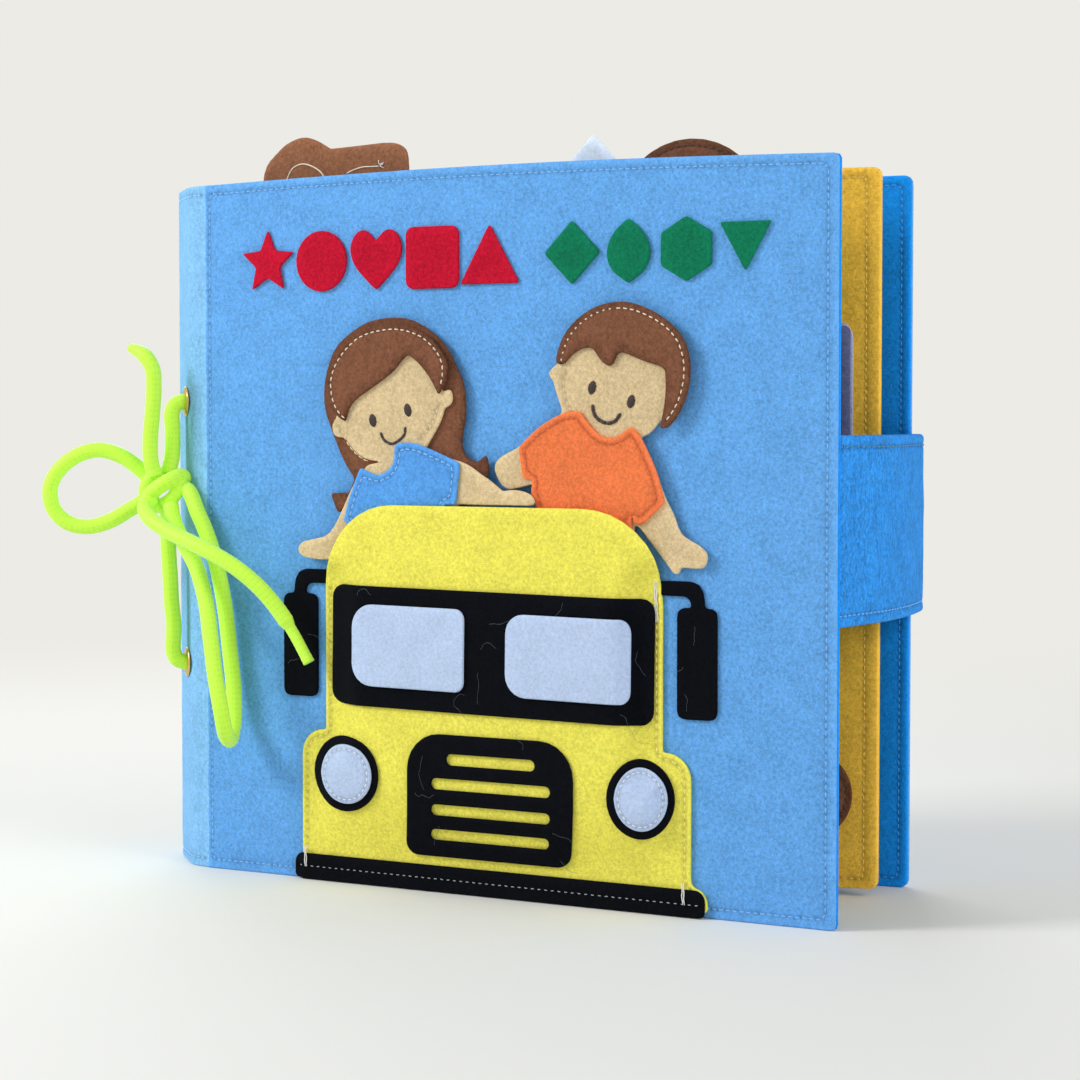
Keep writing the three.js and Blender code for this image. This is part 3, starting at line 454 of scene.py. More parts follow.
def smooth_route(points: Sequence[Sequence[float]], step: float) -> np.ndarray:
    """Pass a smooth curve through places, evenly sampled, with the centripetal spacing that the solids use.

    Args:
        points: places that the curve goes through.
        step: the spacing of the samples.

    Returns:
        Places along the curve.
    """
    given = np.asarray(points, float)
    ends = np.vstack([2 * given[0] - given[1], given, 2 * given[-1] - given[-2]])
    samples = []
    for i in range(1, len(ends) - 2):
        p0, p1, p2, p3 = ends[i - 1:i + 3]
        t1, t2, t3 = np.cumsum([max(np.linalg.norm(b - a), SMALL) ** 0.5
                                for a, b in ((p0, p1), (p1, p2), (p2, p3))])
        count = max(4, int(np.linalg.norm(p2 - p1) / step * 2))
        for t in np.linspace(t1, t2, count, endpoint=False):
            a1 = (t1 - t) / t1 * p0 + t / t1 * p1
            a2 = (t2 - t) / (t2 - t1) * p1 + (t - t1) / (t2 - t1) * p2
            a3 = (t3 - t) / (t3 - t2) * p2 + (t - t2) / (t3 - t2) * p3
            b1 = (t2 - t) / t2 * a1 + t / t2 * a2
            b2 = (t3 - t) / (t3 - t1) * a2 + (t - t1) / (t3 - t1) * a3
            samples.append((t2 - t) / (t2 - t1) * b1 + (t - t1) / (t2 - t1) * b2)
    return resample(np.array([*samples, given[-1]]), step)


def flat_route(places: Sequence[tuple[float, float]], step: float) -> Flat:
    """Pass a smooth curve through flat places, as smooth_route does."""
    return smooth_route([(*place, 0.0) for place in places], step)[:, :2]


def soften(loop: Flat, step: float, rounding: float) -> Flat:
    """Turn a faceted outline into a smooth one, with its corners rounded as a die cuts felt.

    Args:
        loop: a closed outline.
        step: the spacing wanted.
        rounding: the reach of the rounding at corners.

    Returns:
        The smooth closed outline.
    """
    dense = resample(loop, step / 2, True)
    reach = max(1, round(2.5 * rounding / (step / 2)))
    weights = np.exp(-0.5 * (np.arange(-reach, reach + 1) * (step / 2) / rounding) ** 2)
    weights /= weights.sum()
    padded = np.vstack([dense[-reach:], dense, dense[:reach]])
    return resample(np.stack([np.convolve(column, weights, "valid") for column in padded.T], axis=1), step, True)


def area_of(loop: Flat) -> float:
    """Return the signed area of a closed outline, positive where it runs anticlockwise."""
    after = np.roll(loop, -1, axis=0)
    return float(np.sum(loop[:, 0] * after[:, 1] - after[:, 0] * loop[:, 1]) / 2)


def inset(loop: Flat, distance: float) -> Flat:
    """Move a closed, evenly spaced outline inwards by a distance, and drop what comes nearer to it elsewhere."""
    moved = loop + leftward(unit(np.roll(loop, -1, axis=0) - np.roll(loop, 1, axis=0))) * distance
    return moved[nearest(moved, loop) > 0.96 * distance]


def outline_of(node: str, rounding: float, step: float = 0.8) -> list[Flat]:
    """Read the outline of a flat solid, seen from the front, from its own faces.

    Args:
        node: the solid's name.
        rounding: the reach of the rounding at corners.
        step: the spacing wanted along the outline.

    Returns:
        The outline anticlockwise and its holes clockwise, in x and z.
    """
    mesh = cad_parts[node].data
    corners, faces = [], []
    for polygon in mesh.polygons:
        if polygon.normal.y < -0.99:
            faces.append(list(range(len(corners), len(corners) + len(polygon.vertices))))
            places = [(np.array(mesh.vertices[i].co) - CORNER) / MM for i in polygon.vertices]
            corners.extend(Vector((place[0], place[2])) for place in places)
    merged, _, triangles, _, _, origins = geometry.delaunay_2d_cdt(corners, [], faces, 1, 1e-3)
    directed = {(a, b) for triangle, origin in zip(triangles, origins) if origin
                for a, b in zip(triangle, list(triangle[1:]) + [triangle[0]])}
    onward = {a: b for a, b in directed if (b, a) not in directed}
    loops = []
    while onward:
        start, current = onward.popitem()
        loop = [start]
        while current != start and current in onward:
            loop.append(current)
            current = onward.pop(current)
        loops.append(np.array([tuple(merged[i]) for i in loop]))
    return [soften(loop, step, rounding) for loop in loops if len(loop) > 2 and abs(area_of(loop)) > 0.5]


def turned(loop: Flat, degrees: float) -> Flat:
    """Turn an outline anticlockwise about its own middle.

    Args:
        loop: the outline.
        degrees: how far.

    Returns:
        The turned outline.
    """
    way = polar(math.radians(degrees))
    middle = (loop.min(0) + loop.max(0)) / 2
    return (loop - middle) @ np.array([way, leftward(way)]) + middle


def round_loop(u: float, v: float, radius: float, step: float = 0.8) -> Flat:
    """Draw a circle, anticlockwise."""
    count = max(12, round(TURN * radius / step))
    return np.array([u, v]) + polar(np.linspace(0, TURN, count, endpoint=False), radius)


def rectangle(left: float, bottom: float, width: float, height: float,
              corners: float | tuple[float, float, float, float], step: float = 1.2) -> Flat:
    """Draw a rectangle with rounded corners, anticlockwise.

    Args:
        left: its left side.
        bottom: its lower side.
        width: its width.
        height: its height.
        corners: its corners' radius, or one each for lower right, upper right, upper left and lower left.
        step: the spacing wanted.

    Returns:
        The closed outline.
    """
    radii = corners if isinstance(corners, tuple) else (corners,) * 4
    right, top = left + width, bottom + height
    places = ((right, bottom, -1, 1, -90), (right, top, -1, -1, 0), (left, top, 1, -1, 90), (left, bottom, 1, 1, 180))
    points = [np.array([u + inward * radius, v + upward * radius])
              + polar(np.radians(np.arange(start, start + 91, 15)), radius)
              for (u, v, inward, upward, start), radius in zip(places, radii)]
    return resample(np.vstack(points), step, True)


def within(points: Flat, loop: Flat) -> np.ndarray:
    """Tell which flat points lie inside a closed outline.

    Args:
        points: the places.
        loop: the outline.

    Returns:
        True for each place that lies inside.
    """
    inside = np.zeros(len(points), bool)
    for (u1, v1), (u2, v2) in zip(loop, np.roll(loop, -1, axis=0)):
        crosses = (v1 > points[:, 1]) != (v2 > points[:, 1])
        if crosses.any():
            inside ^= crosses & (points[:, 0] < (u2 - u1) * (points[:, 1] - v1) / (v2 - v1 + 1e-12) + u1)
    return inside


def box_of(node: str) -> tuple[np.ndarray, np.ndarray]:
    """Return a solid's lowest and highest corners in the book's own millimetres."""
    low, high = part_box(node)
    return (np.array(low) - CORNER) / MM, (np.array(high) - CORNER) / MM


def far_arc(row: Flat, u: float, v: float, start: float, end: float) -> Flat:
    """Return the outermost part of a row round a centre, between two angles.

    Args:
        row: flat places.
        u: the centre's place across.
        v: the centre's place up.
        start: the first angle in degrees.
        end: the last angle in degrees.

    Returns:
        A smooth path.
    """
    spacing, slack, far_off = 4.0, 4.5, 100
    away = row - np.array([u, v])
    angle, radius = np.degrees(np.arctan2(away[:, 1], away[:, 0])), np.hypot(away[:, 0], away[:, 1])
    stops = np.arange(start, end + 1, spacing)
    apart = np.abs((angle[None, :] - stops[:, None] + 180) % 360 - 180)
    reach = radius[np.argmin(np.maximum(apart - slack, 0) * far_off - radius[None, :], axis=1)]
    reach = np.convolve(np.pad(reach, 1, mode="edge"), (0.25, 0.5, 0.25), "valid")
    return resample(np.array([u, v]) + polar(np.radians(stops), reach), 0.6)


def longest_run(loop: Flat, kept: np.ndarray) -> Flat:
    """Find the longest unbroken run of a closed outline's kept places.

    Args:
        loop: the outline.
        kept: which of its places are kept.

    Returns:
        The run's places, in order.
    """
    order = (np.arange(len(loop)) + int(np.argmin(kept))) % len(loop)
    runs = np.split(order, np.where(np.diff(kept[order].astype(int)) != 0)[0] + 1)
    return loop[max((run for run in runs if kept[run[0]]), key=len)]


@dataclass(frozen=True)
class Fold:
    """Where a piece bends between two bodies: the still body, the moving body, and the middle and reach of the bend.
    """

    still: str
    moving: str
    middle: np.ndarray
    reach: np.ndarray

    def ends(self) -> tuple[list[float], list[float]]:
        """Return the start and the end in the frame."""
        return tuple(in_frame(np.append(self.middle + side * self.reach, 0.0)).tolist() for side in (-1, 1))


class Plan:
    """A path seen from above that a standing sheet follows; its outer side is at the left of the way it runs."""

    def __init__(self, path: Sequence[Sequence[float]]) -> None:
        """Measure the path.

        Args:
            path: closely spaced places in x and y.
        """
        self.path = np.asarray(path, float)
        self.along = run_of(self.path)
        self.length = float(self.along[-1])
        self.outward = leftward(unit(np.gradient(self.path, self.along, axis=0)))

    def at(self, run: np.ndarray | float) -> tuple[np.ndarray, np.ndarray]:
        """Return the place and the outward direction at a distance along."""
        return read_off(run, self.along, self.path), unit(read_off(run, self.along, self.outward))

    def wrap(self, skin: float, side: float = 1.0, start: float = 0.0) -> Wrap:
        """Return a function that sets a flat sheet on the path.

        Args:
            skin: how far inside the path the sheet's back lies, on the side that it faces.
            side: 1 for a sheet that faces outwards, -1 for one that faces inwards.
            start: the sheet's u at the path's first place.

        Returns:
            A function of flat places and depths.
        """
        def set_on(flat: np.ndarray, depth: np.ndarray) -> np.ndarray:
            """Set flat places and depths on the path."""
            centre, outward = self.at(flat[:, 0] - start)
            return np.column_stack([centre + outward * (side * (depth - skin))[:, None], flat[:, 1]])
        return set_on


@dataclass
class Seam:
    """A row of machine stitches along a path on a sheet, which pulls a groove and holes into the felt."""

    path: Flat
    thread: Threads
    closed: bool = False
    pitch: float = 2.2
    width: float = 0.42
    pull: float = 0.3
    share: float = 0.8
    lift: float = 0.0
    groove: float = 0.75
    groove_share: float = 0.6
    hole: float = 0.5
    hole_share: float = 0.8
    stops: tuple[float, ...] = (-1, -0.5, 0, 0.5, 1)
    rise: tuple[float, ...] = (-0.3, -0.02, 0.07, -0.02, -0.3)
    sway: float = 0.07
    sway_turn: float = 2.399

    def __post_init__(self) -> None:
        """Space the holes along the path."""
        self.holes = resample(self.path, self.pitch, self.closed)

    def dent(self, flat: Flat) -> np.ndarray:
        """Work out how deep the thread pulls the felt in.

        Args:
            flat: the flat places.

        Returns:
            The depth at each place.
        """
        groove = np.exp(-(nearest(flat, resample(self.path, 0.6, self.closed)) / self.groove) ** 2)
        hole = np.exp(-(nearest(flat, self.holes) / self.hole) ** 2)
        return self.pull * (self.groove_share * groove + self.hole_share * hole)

    def stitches(self) -> list[Flat]:
        """Lay out the stitches, each bowed a little to one side.

        Returns:
            A short flat line of places for each stitch.
        """
        ends = np.vstack([self.holes[1:], self.holes[:1]]) if self.closed else self.holes[1:]
        lead = (1 - self.share) / 2
        shares = np.linspace(lead, 1 - lead, len(self.stops))[:, None]
        lines = []
        for index, (a, b) in enumerate(zip(self.holes, ends)):
            length = np.linalg.norm(b - a)
            if 0.2 * self.pitch < length < 2.5 * self.pitch:
                bow = np.array(self.stops) * self.sway * math.sin(index * self.sway_turn)
                lines.append(a + (b - a) * shares + leftward(b - a) / length * bow[:, None])
        return lines


def quads(rings: np.ndarray) -> Faces:
    """Return the faces between closed rings of indices, one ring to a row."""
    after = np.roll(rings, -1, axis=1)
    return np.stack([rings[:-1], after[:-1], after[1:], rings[1:]], axis=-1).reshape(-1, 4).tolist()


def swept(paths: Sequence[np.ndarray], radii: Sequence[np.ndarray], sides: int,
          relief: Callable | None = None) -> tuple[np.ndarray, Faces, np.ndarray]:
    """Sweep round sections along paths without twisting them, and close their ends.

    Args:
        paths: the centre line of each strand.
        radii: the radius at each place of each strand.
        sides: how many sides a section has.
        relief: the share that the surface stands in or out, by angle and distance along.

    Returns:
        The places, the faces and the relief of each place.
    """
    angles = np.linspace(0, TURN, sides, endpoint=False)
    points, faces, depths, total = [], [], [], 0
    for path, radius in zip(paths, radii):
        tangents = unit(np.gradient(path, axis=0))
        side = np.cross(tangents[0], (0.0, 0.0, 1.0) if abs(tangents[0][2]) < 0.9 else (0.0, 1.0, 0.0))
        for place, tangent, reach, run in zip(path, tangents, radius, run_of(path)):
            side = unit(side - tangent * np.dot(side, tangent))
            spokes = polar(angles) @ np.array([side, np.cross(tangent, side)])
            depths.append(relief(angles, run) if relief else np.zeros(sides))
            points.append(place + (reach * (1 + depths[-1]))[:, None] * spokes)
        points.append(path[[0, -1]])
        depths.append(np.zeros(2))
        end = total + len(path) * sides
        rings = np.arange(total, end).reshape(-1, sides)
        after = np.roll(rings, -1, axis=1)
        faces += quads(rings)
        faces += np.column_stack([after[0], rings[0], np.full(sides, end)]).tolist()
        faces += np.column_stack([rings[-1], after[-1], np.full(sides, end + 1)]).tolist()
        total = end + 2
    return np.vstack(points), faces, np.concatenate(depths)


def make_piece(name: str, points: np.ndarray, faces: Faces, finish: Felts | Threads | Smooth | Braid,
               body: str | Fold, nodes: Sequence[str] = (), marks: dict[str, np.ndarray] | None = None,
               ) -> bpy.types.Object:
    """Make a piece from places in the book's own millimetres, give it its finish and body, and hide the solids that
    it stands for.

    Args:
        name: the piece's name.
        points: its places.
        faces: its faces.
        finish: what it is made of.
        body: the body that it moves with; a piece given a fold between two bodies is left unattached.
        nodes: the solids that it stands for.
        marks: values for each place, by attribute name, that the finish reads.

    Returns:
        The new object.
    """
    mesh = bpy.data.meshes.new(name)
    mesh.from_pydata(in_frame(points).tolist(), [], faces)
    for key, values in (marks or {}).items():
        mesh.attributes.new(key, "FLOAT", "POINT").data.foreach_set("value", np.asarray(values, np.float32))
    shaped = bmesh.new()
    shaped.from_mesh(mesh)
    bmesh.ops.recalc_face_normals(shaped, faces=shaped.faces)
    shaped.to_mesh(mesh)
    shaped.free()
    mesh.polygons.foreach_set("use_smooth", [True] * len(mesh.polygons))
    made = finish.value if isinstance(finish, Enum) else finish
    mesh.materials.append(made.material())
    piece = bpy.data.objects.new(name, mesh)
    bpy.context.scene.collection.objects.link(piece)
    if isinstance(body, Fold):
        start, end = body.ends()
        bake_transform(piece)
        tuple(start)
        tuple(end)
    else:
        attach(piece, body)
    if nodes:
        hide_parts(*nodes)
    LOG.info("%s: %d faces", name, len(mesh.polygons))
    return piece


def lay_threads(name: str, paths: Sequence[np.ndarray], radius: float, finish: Threads, body: str | Fold,
                sides: int = 6) -> bpy.types.Object:
    """Make one piece of many short threads.

    Args:
        name: the piece's name.
        paths: the centre line of each thread.
        radius: the threads' radius, a quarter less at their ends.
        finish: what they are.
        body: what they move with.
        sides: how many sides each thread's section has.

    Returns:
        The threads as one object.
    """
    radii = [radius * np.array([0.75, *[1.0] * (len(path) - 2), 0.75]) for path in paths]
    points, faces, _ = swept(paths, radii, sides)
    return make_piece(name, points, faces, finish, body)


@dataclass
class FeltSheet:
    """A sheet cut from felt: flat in u and v, with a soft edge, dented by its seams, and then set in place.

    Its depth is measured from its back face's plane towards the viewer of its face.
    """

    name: str
    loops: list[Flat]
    thickness: float
    finish: Felts
    body: str | Fold
    nodes: tuple[str, ...] = ()
    held: str = ""
    rests_on: tuple[str, ...] = ()
    back: float = 0.0
    seams: tuple[Seam, ...] = ()
    pitch: float = 3.0
    ribs: Sequence[float] = ()
    base: Callable[[Flat], np.ndarray] | None = None
    wrap: Wrap | None = None
    waviness: float = 0.05
    wave_length: float = 7.0
    # How far in from the cut edge the painted edge highlight reaches; it is painted shade where the felt's rim share
    # is negative.
    rim_width: float = 1.3
    edge_steps: tuple[float, ...] = (0.12, 0.4, 0.85)
    seam_offsets: tuple[float, ...] = (-1.1, -0.5, 0.0, 0.5, 1.1)
    back_share: float = 0.3
    full_dent: float = 0.35
    row_share: float = 0.87
    clear_share: float = 0.45
    rim_clear: float = 0.07

    def __post_init__(self) -> None:
        """Gather the whole outline for measuring distances."""
        self.rim = np.vstack([resample(loop, 0.3, True) for loop in self.loops])

    def bed(self, flat: Flat) -> np.ndarray:
        """Return how far the sheet's back face stands off its plane at each flat place."""
        return self.base(flat) if self.base else np.zeros(len(flat))

    def dent(self, flat: Flat) -> np.ndarray:
        """Return how deep all the seams pull the felt in at each flat place."""
        return np.max([np.zeros(len(flat)), *(seam.dent(flat) for seam in self.seams)], axis=0)

    def wave(self, flat: Flat) -> np.ndarray:
        """Return the felt's slight unevenness at each flat place."""
        seed = (sum(map(ord, self.name)) % 97) * 3.1
        return np.array([noise.noise((*place, seed)) for place in flat / self.wave_length]) * self.waviness * 2

    def set_in_place(self, flat: Flat, depth: np.ndarray) -> np.ndarray:
        """Turn flat places and depths into places in the book."""
        return self.wrap(flat, depth) if self.wrap else upright(flat, self.back - depth)

    def scatter(self) -> tuple[list[Vector], list[tuple[int, int]]]:
        """Lay out the sheet's flat places: on the outline, round the edge, along the seams and between.

        Returns:
            The places and the outline's edges.
        """
        edges, total = [], 0
        for loop in self.loops:
            edges += [(total + i, total + (i + 1) % len(loop)) for i in range(len(loop))]
            total += len(loop)
        inner = [inset(loop, self.thickness / 2 * step) for loop in self.loops for step in self.edge_steps]
        for seam in self.seams:
            fine = resample(seam.path, seam.pitch / 3, seam.closed)
            across = leftward(unit(np.gradient(fine, axis=0)))
            inner += [fine + across * offset for offset in self.seam_offsets]
        low, high = self.rim.min(0), self.rim.max(0)
        stops = np.arange(low[1] + 1, high[1], self.pitch)
        inner += [np.stack([np.full(len(stops), rib), stops], axis=1) for rib in self.ribs]
        grid = np.array([(u + (k % 2) * self.pitch / 2, v)
                         for k, v in enumerate(np.arange(low[1], high[1], self.pitch * self.row_share))
                         for u in np.arange(low[0], high[0], self.pitch)])
        inner.append(grid[nearest(grid, np.vstack([*inner, self.rim])) > self.pitch * self.clear_share])
        kept = np.vstack(inner)
        kept = kept[nearest(kept, self.rim) > self.rim_clear]
        return [Vector(place) for place in np.vstack([*self.loops, kept])], edges

    def cut(self) -> tuple[Flat, np.ndarray, np.ndarray]:
        """Cut the flat sheet into triangles.

        Returns:
            The flat places, the triangles, and which places lie on the outline.
        """
        given, edges = self.scatter()
        merged, _, cut, *_ = geometry.delaunay_2d_cdt(given, edges, [], 2, 1e-3)
        flat, triangles = np.array([tuple(place) for place in merged]), np.array([list(triangle) for triangle in cut])
        for loop in self.loops:
            if area_of(loop) < 0:
                triangles = triangles[~within(flat[triangles].mean(axis=1), loop)]
        used, renumbered = np.unique(triangles, return_inverse=True)
        flat, triangles = flat[used], renumbered.reshape(-1, 3)
        directed = {tuple(side) for pair in ((0, 1), (1, 2), (2, 0)) for side in triangles[:, pair].tolist()}
        on_rim = np.zeros(len(flat), bool)
        on_rim[[end for side in directed if side[::-1] not in directed for end in side]] = True
        return flat, triangles, on_rim

    def build(self) -> bpy.types.Object:
        """Cut, round and dent the sheet, set it in place and sew its seams.

        Returns:
            The sheet's object.
        """
        flat, triangles, on_rim = self.cut()
        away, half = nearest(flat, self.rim), self.thickness / 2
        near = np.clip(away / half, 0, 1)
        roundness = np.where(on_rim, 0.0, np.sqrt(np.clip(1 - (1 - near) ** 2, 0, 1)))
        bed, dent, wave = self.bed(flat), self.dent(flat), self.wave(flat)
        middle, share = bed + half, self.back_share
        fronts = self.set_in_place(flat, middle + (half - dent) * roundness + wave)
        rears = self.set_in_place(flat, middle - (half - share * dent) * roundness + wave * share)
        inner = np.where(~on_rim)[0]
        back_index = np.arange(len(flat))
        back_index[inner] = len(flat) + np.arange(len(inner))
        # The rim mark is nearness to the cut edge, for the painted edge highlight; the dent mark is how deep the
        # seams pull in, for painted shade in their grooves.
        rim = np.clip(1 - away / self.rim_width, 0, 1) ** 0.7
        marks = {"rim": np.append(rim, rim[inner]),
                 "dent": np.append(np.clip(dent / self.full_dent, 0, 1), np.zeros(len(inner)))}
        piece = make_piece(self.name, np.vstack([fronts, rears[inner]]),
                           triangles.tolist() + back_index[triangles[:, ::-1]].tolist(), self.finish, self.body,
                           self.nodes, marks)
        threads = [self.stitch(seam, f"{self.name}_stitches_{index}") for index, seam in enumerate(self.seams, 1)]
        if self.held:
            size = (np.ptp(self.rim, axis=0) * MM).tolist()
            area = sum(area_of(loop) for loop in self.loops) * MM * MM
            list(self.rests_on)
        return piece

    def stitch(self, seam: Seam, name: str) -> bpy.types.Object:
        """Lay a seam's stitches on the sheet's face.

        Args:
            seam: the row of stitches.
            name: the name for the threads' piece.

        Returns:
            The threads as one object.
        """
        lines = seam.stitches()
        flat = np.vstack(lines)
        face = self.bed(flat) + self.thickness - self.dent(flat) + self.wave(flat)
        places = self.set_in_place(flat, face + np.tile(seam.rise, len(lines)) + seam.lift)
        return lay_threads(name, places.reshape(len(lines), -1, 3), seam.width / 2, seam.thread, self.body)


@dataclass
class Lace:
    """The tied lace: one round braided cord, in stretches between the eyelets, the knot and its two ends.

    The routes are the solids' own, in metres; its other sizes are in millimetres.
    """

    diameter: float = 5.0
    sides: int = 28
    step: float = 0.5
    yarns: int = 7
    yarn_length: float = 3.4
    yarn_relief: float = 0.022
    sealed_length: float = 13.5
    sealed_radius: float = 1.75
    sealed_flare: float = 0.1
    flare_length: float = 3.0
    frayed_length: float = 7.0
    frayed_share: float = 0.5
    knot_centre: tuple[float, float, float] = (-14.5, -1.4, 122.5)
    knot_lines: tuple = (
        (1.0, [(-6.2, -0.6, -3.4), (-4.6, -4.2, -2.6), (-0.6, -5.6, 0.2), (3.6, -3.8, 3.0), (5.2, -0.2, 4.4),
               (4.6, 2.6, 3.6)]),
        (0.94, [(-1.6, 0.4, 5.0), (-4.4, -1.8, 4.2), (-6.4, -3.2, 0.8), (-5.8, -3.4, -3.4), (-2.8, -2.6, -5.4),
                (0.6, -1.0, -4.6)]),
        (0.9, [(5.4, 0.0, 3.4), (5.4, -1.8, 0.2), (3.6, -2.6, -2.8), (0.4, -2.4, -4.6)]))
    routes: dict[str, list[tuple[float, float, float]]] = field(default_factory=lambda: {
        "upper_lead": [(-0.00879, 0.00799, 0.151), (-0.0102, 0.0065, 0.151), (-0.01168, 0.00494, 0.151),
                       (-0.01237, 0.00421, 0.151), (-0.01421, 0.00226, 0.1499), (-0.01498, 0.00145, 0.1472),
                       (-0.0146, 0.0013, 0.142), (-0.0144, 0.001, 0.137), (-0.0144, 0.0005, 0.1326),
                       (-0.0145, -0.0007, 0.1291), (-0.0145, -0.001, 0.1276)],
        "lower_lead": [(-0.00879, 0.00799, 0.066), (-0.0102, 0.0065, 0.066), (-0.01168, 0.00494, 0.066),
                       (-0.01237, 0.00421, 0.066), (-0.01421, 0.00226, 0.0671), (-0.01498, 0.00145, 0.0698),
                       (-0.0143, 0.0009, 0.078), (-0.0149, 0.0005, 0.086), (-0.0152, 0.0003, 0.094),
                       (-0.0157, 0.0002, 0.102), (-0.0157, -0.0001, 0.11), (-0.015, -0.0009, 0.1159)],
        "left_loop": [(-0.0209, -0.0026, 0.1258), (-0.024, -0.0039, 0.129), (-0.0294, -0.0066, 0.1332),
                      (-0.0356, -0.01, 0.1352), (-0.0416, -0.0134, 0.1336), (-0.047, -0.0164, 0.129),
                      (-0.0496, -0.018, 0.1232), (-0.0488, -0.0176, 0.1162), (-0.045, -0.0152, 0.1116),
                      (-0.0394, -0.012, 0.1102), (-0.033, -0.0086, 0.112), (-0.0274, -0.0056, 0.1156),
                      (-0.0214, -0.0028, 0.1194)],
        "hanging_loop": [(-0.0076, -0.0017, 0.1227), (-0.0061, -0.0019, 0.1223), (-0.004, -0.0026, 0.1202),
                         (-0.0012, -0.0035, 0.1156), (0.0018, -0.0039, 0.1107), (0.0052, -0.004, 0.103),
                         (0.008, -0.0042, 0.0946), (0.0104, -0.0044, 0.084), (0.012, -0.0044, 0.072),
                         (0.0136, -0.0046, 0.06), (0.015, -0.0064, 0.0496), (0.0174, -0.0116, 0.044),
                         (0.0198, -0.0174, 0.0466), (0.0204, -0.0204, 0.054), (0.018, -0.02, 0.064),
                         (0.0144, -0.0176, 0.076), (0.0106, -0.015, 0.0876), (0.0048, -0.012, 0.098),
                         (-0.003, -0.009, 0.1064), (-0.0088, -0.0064, 0.1134), (-0.0109, -0.0046, 0.1174)],
        "upper_tail": [(-0.016, -0.006, 0.1272), (-0.0167, -0.0068, 0.1298), (-0.0172, -0.0071, 0.134),
                       (-0.017, -0.0072, 0.14), (-0.016, -0.0074, 0.1474), (-0.0152, -0.0076, 0.1554),
                       (-0.0154, -0.008, 0.1614), (-0.0186, -0.0082, 0.1658), (-0.0244, -0.0082, 0.1684)],
        "long_tail": [(-0.0173, -0.0068, 0.1196), (-0.0172, -0.01, 0.117), (-0.012, -0.014, 0.1134),
                      (-0.003, -0.0162, 0.1096), (0.0066, -0.0174, 0.1064), (0.0164, -0.0174, 0.1026),
                      (0.024, -0.0158, 0.0982), (0.0302, -0.013, 0.0924), (0.035, -0.01, 0.0856),
                      (0.0394, -0.0078, 0.078), (0.0444, -0.0068, 0.0692)],
    })

    def binding_route(self) -> list[tuple[float, float, float]]:
        """Lay out the hidden stretch: in at the upper front eyelet, through the pages' margins, down and back.

        Returns:
            Places along it.
        """
        through = [(-8.59, 8.21), (-8.2, 8.62), (-6.79, 10.84), (-6.3, 13.43), (-6.3, 21.5), (-6.3, 29.5),
                   (-6.3, 37.5), (-6.3, 45.57), (-6.79, 48.16), (-8.2, 50.38), (-9.9, 52.2), (-11.68, 54.06)]
        down = [(-12.5, 54.93, 151), (-14.54, 57.09, 149.8), (-15.39, 57.99, 146.8), (-15.39, 57.99, 127),
                (-15.39, 57.99, 108.5), (-15.39, 57.99, 90), (-15.39, 57.99, 70.2), (-14.54, 57.09, 67.2),
                (-12.5, 54.93, 66)]
        return [(x, y, 151.0) for x, y in through] + down + [(x, y, 66.0) for x, y in reversed(through)]

    def relief(self, angles: np.ndarray, run: float) -> np.ndarray:
        """Return how far the crossed yarns stand in or out round the cord at one place along it."""
        turn = TURN * run / self.yarn_length
        return self.yarn_relief * np.cos(self.yarns * angles + turn) * np.cos(self.yarns * angles - turn)

    def strand(self, name: str, paths: Sequence[np.ndarray], radii: Sequence[np.ndarray], node: str,
               body: str = "front_cover") -> bpy.types.Object:
        """Sweep one or more stretches of the braided cord as one piece.

        Args:
            name: the piece's name.
            paths: the stretches' centre lines.
            radii: the radius at each of their places.
            node: the solid that the piece stands for.
            body: the body that it moves with.

        Returns:
            The piece.
        """
        points, faces, depth = swept(paths, radii, self.sides, self.relief)
        # The dent mark sets the painted shade in the creases between the yarns.
        return make_piece(name, points, faces, LIME, body, [node], {"dent": np.clip(-depth / self.yarn_relief, 0, 1)})

    def radius(self, name: str, path: np.ndarray) -> np.ndarray:
        """Measure the radius of a stretch, thinner where a cut end was sealed or frayed.

        Args:
            name: the stretch's name.
            path: its centre line.

        Returns:
            One radius for each place.
        """
        left = run_of(path[::-1])[::-1]
        radius = np.full(len(path), self.diameter / 2)
        if name == "long_tail":
            sealed = self.sealed_radius + self.sealed_flare * np.clip(1 - left / self.flare_length, 0, 1)
            radius = np.where(left < self.sealed_length, sealed, radius)
            radius = np.convolve(np.pad(radius, 2, mode="edge"), np.ones(5) / 5, "valid")
        if name == "upper_tail":
            least = self.frayed_share
            radius = radius * np.clip(least + (1 - least) * (left / self.frayed_length) ** 0.7, least, 1)
        return radius

    def knot(self) -> bpy.types.Object:
        """Tie the knot: a wrap that slants over its front, a lobe at its left and a tuck at its right.

        Returns:
            The knot's object.
        """
        paths = [np.array(self.knot_centre) + smooth_route(line, self.step) for _, line in self.knot_lines]
        radii = [np.full(len(path), self.diameter / 2 * size) for path, (size, _) in zip(paths, self.knot_lines)]
        return self.strand("bow_knot_strands", paths, radii, "bow_knot")

    def build(self) -> None:
        knot = self.knot()
        for name, route in self.routes.items():
            path = smooth_route(np.array(route) / MM, self.step)
            length = float(run_of(path)[-1]) * MM
            piece = self.strand(f"{name}_braid", [path], [self.radius(name, path)], name)
            in_frame(path[0]).tolist()
            in_frame(path).tolist()
            LOG.info("%s is %.0f mm long", name, length / MM)
        hidden = smooth_route(self.binding_route(), self.step)
        self.strand("binding_cord_braid", [hidden], [self.radius("", hidden)], "binding_cord", "spine")


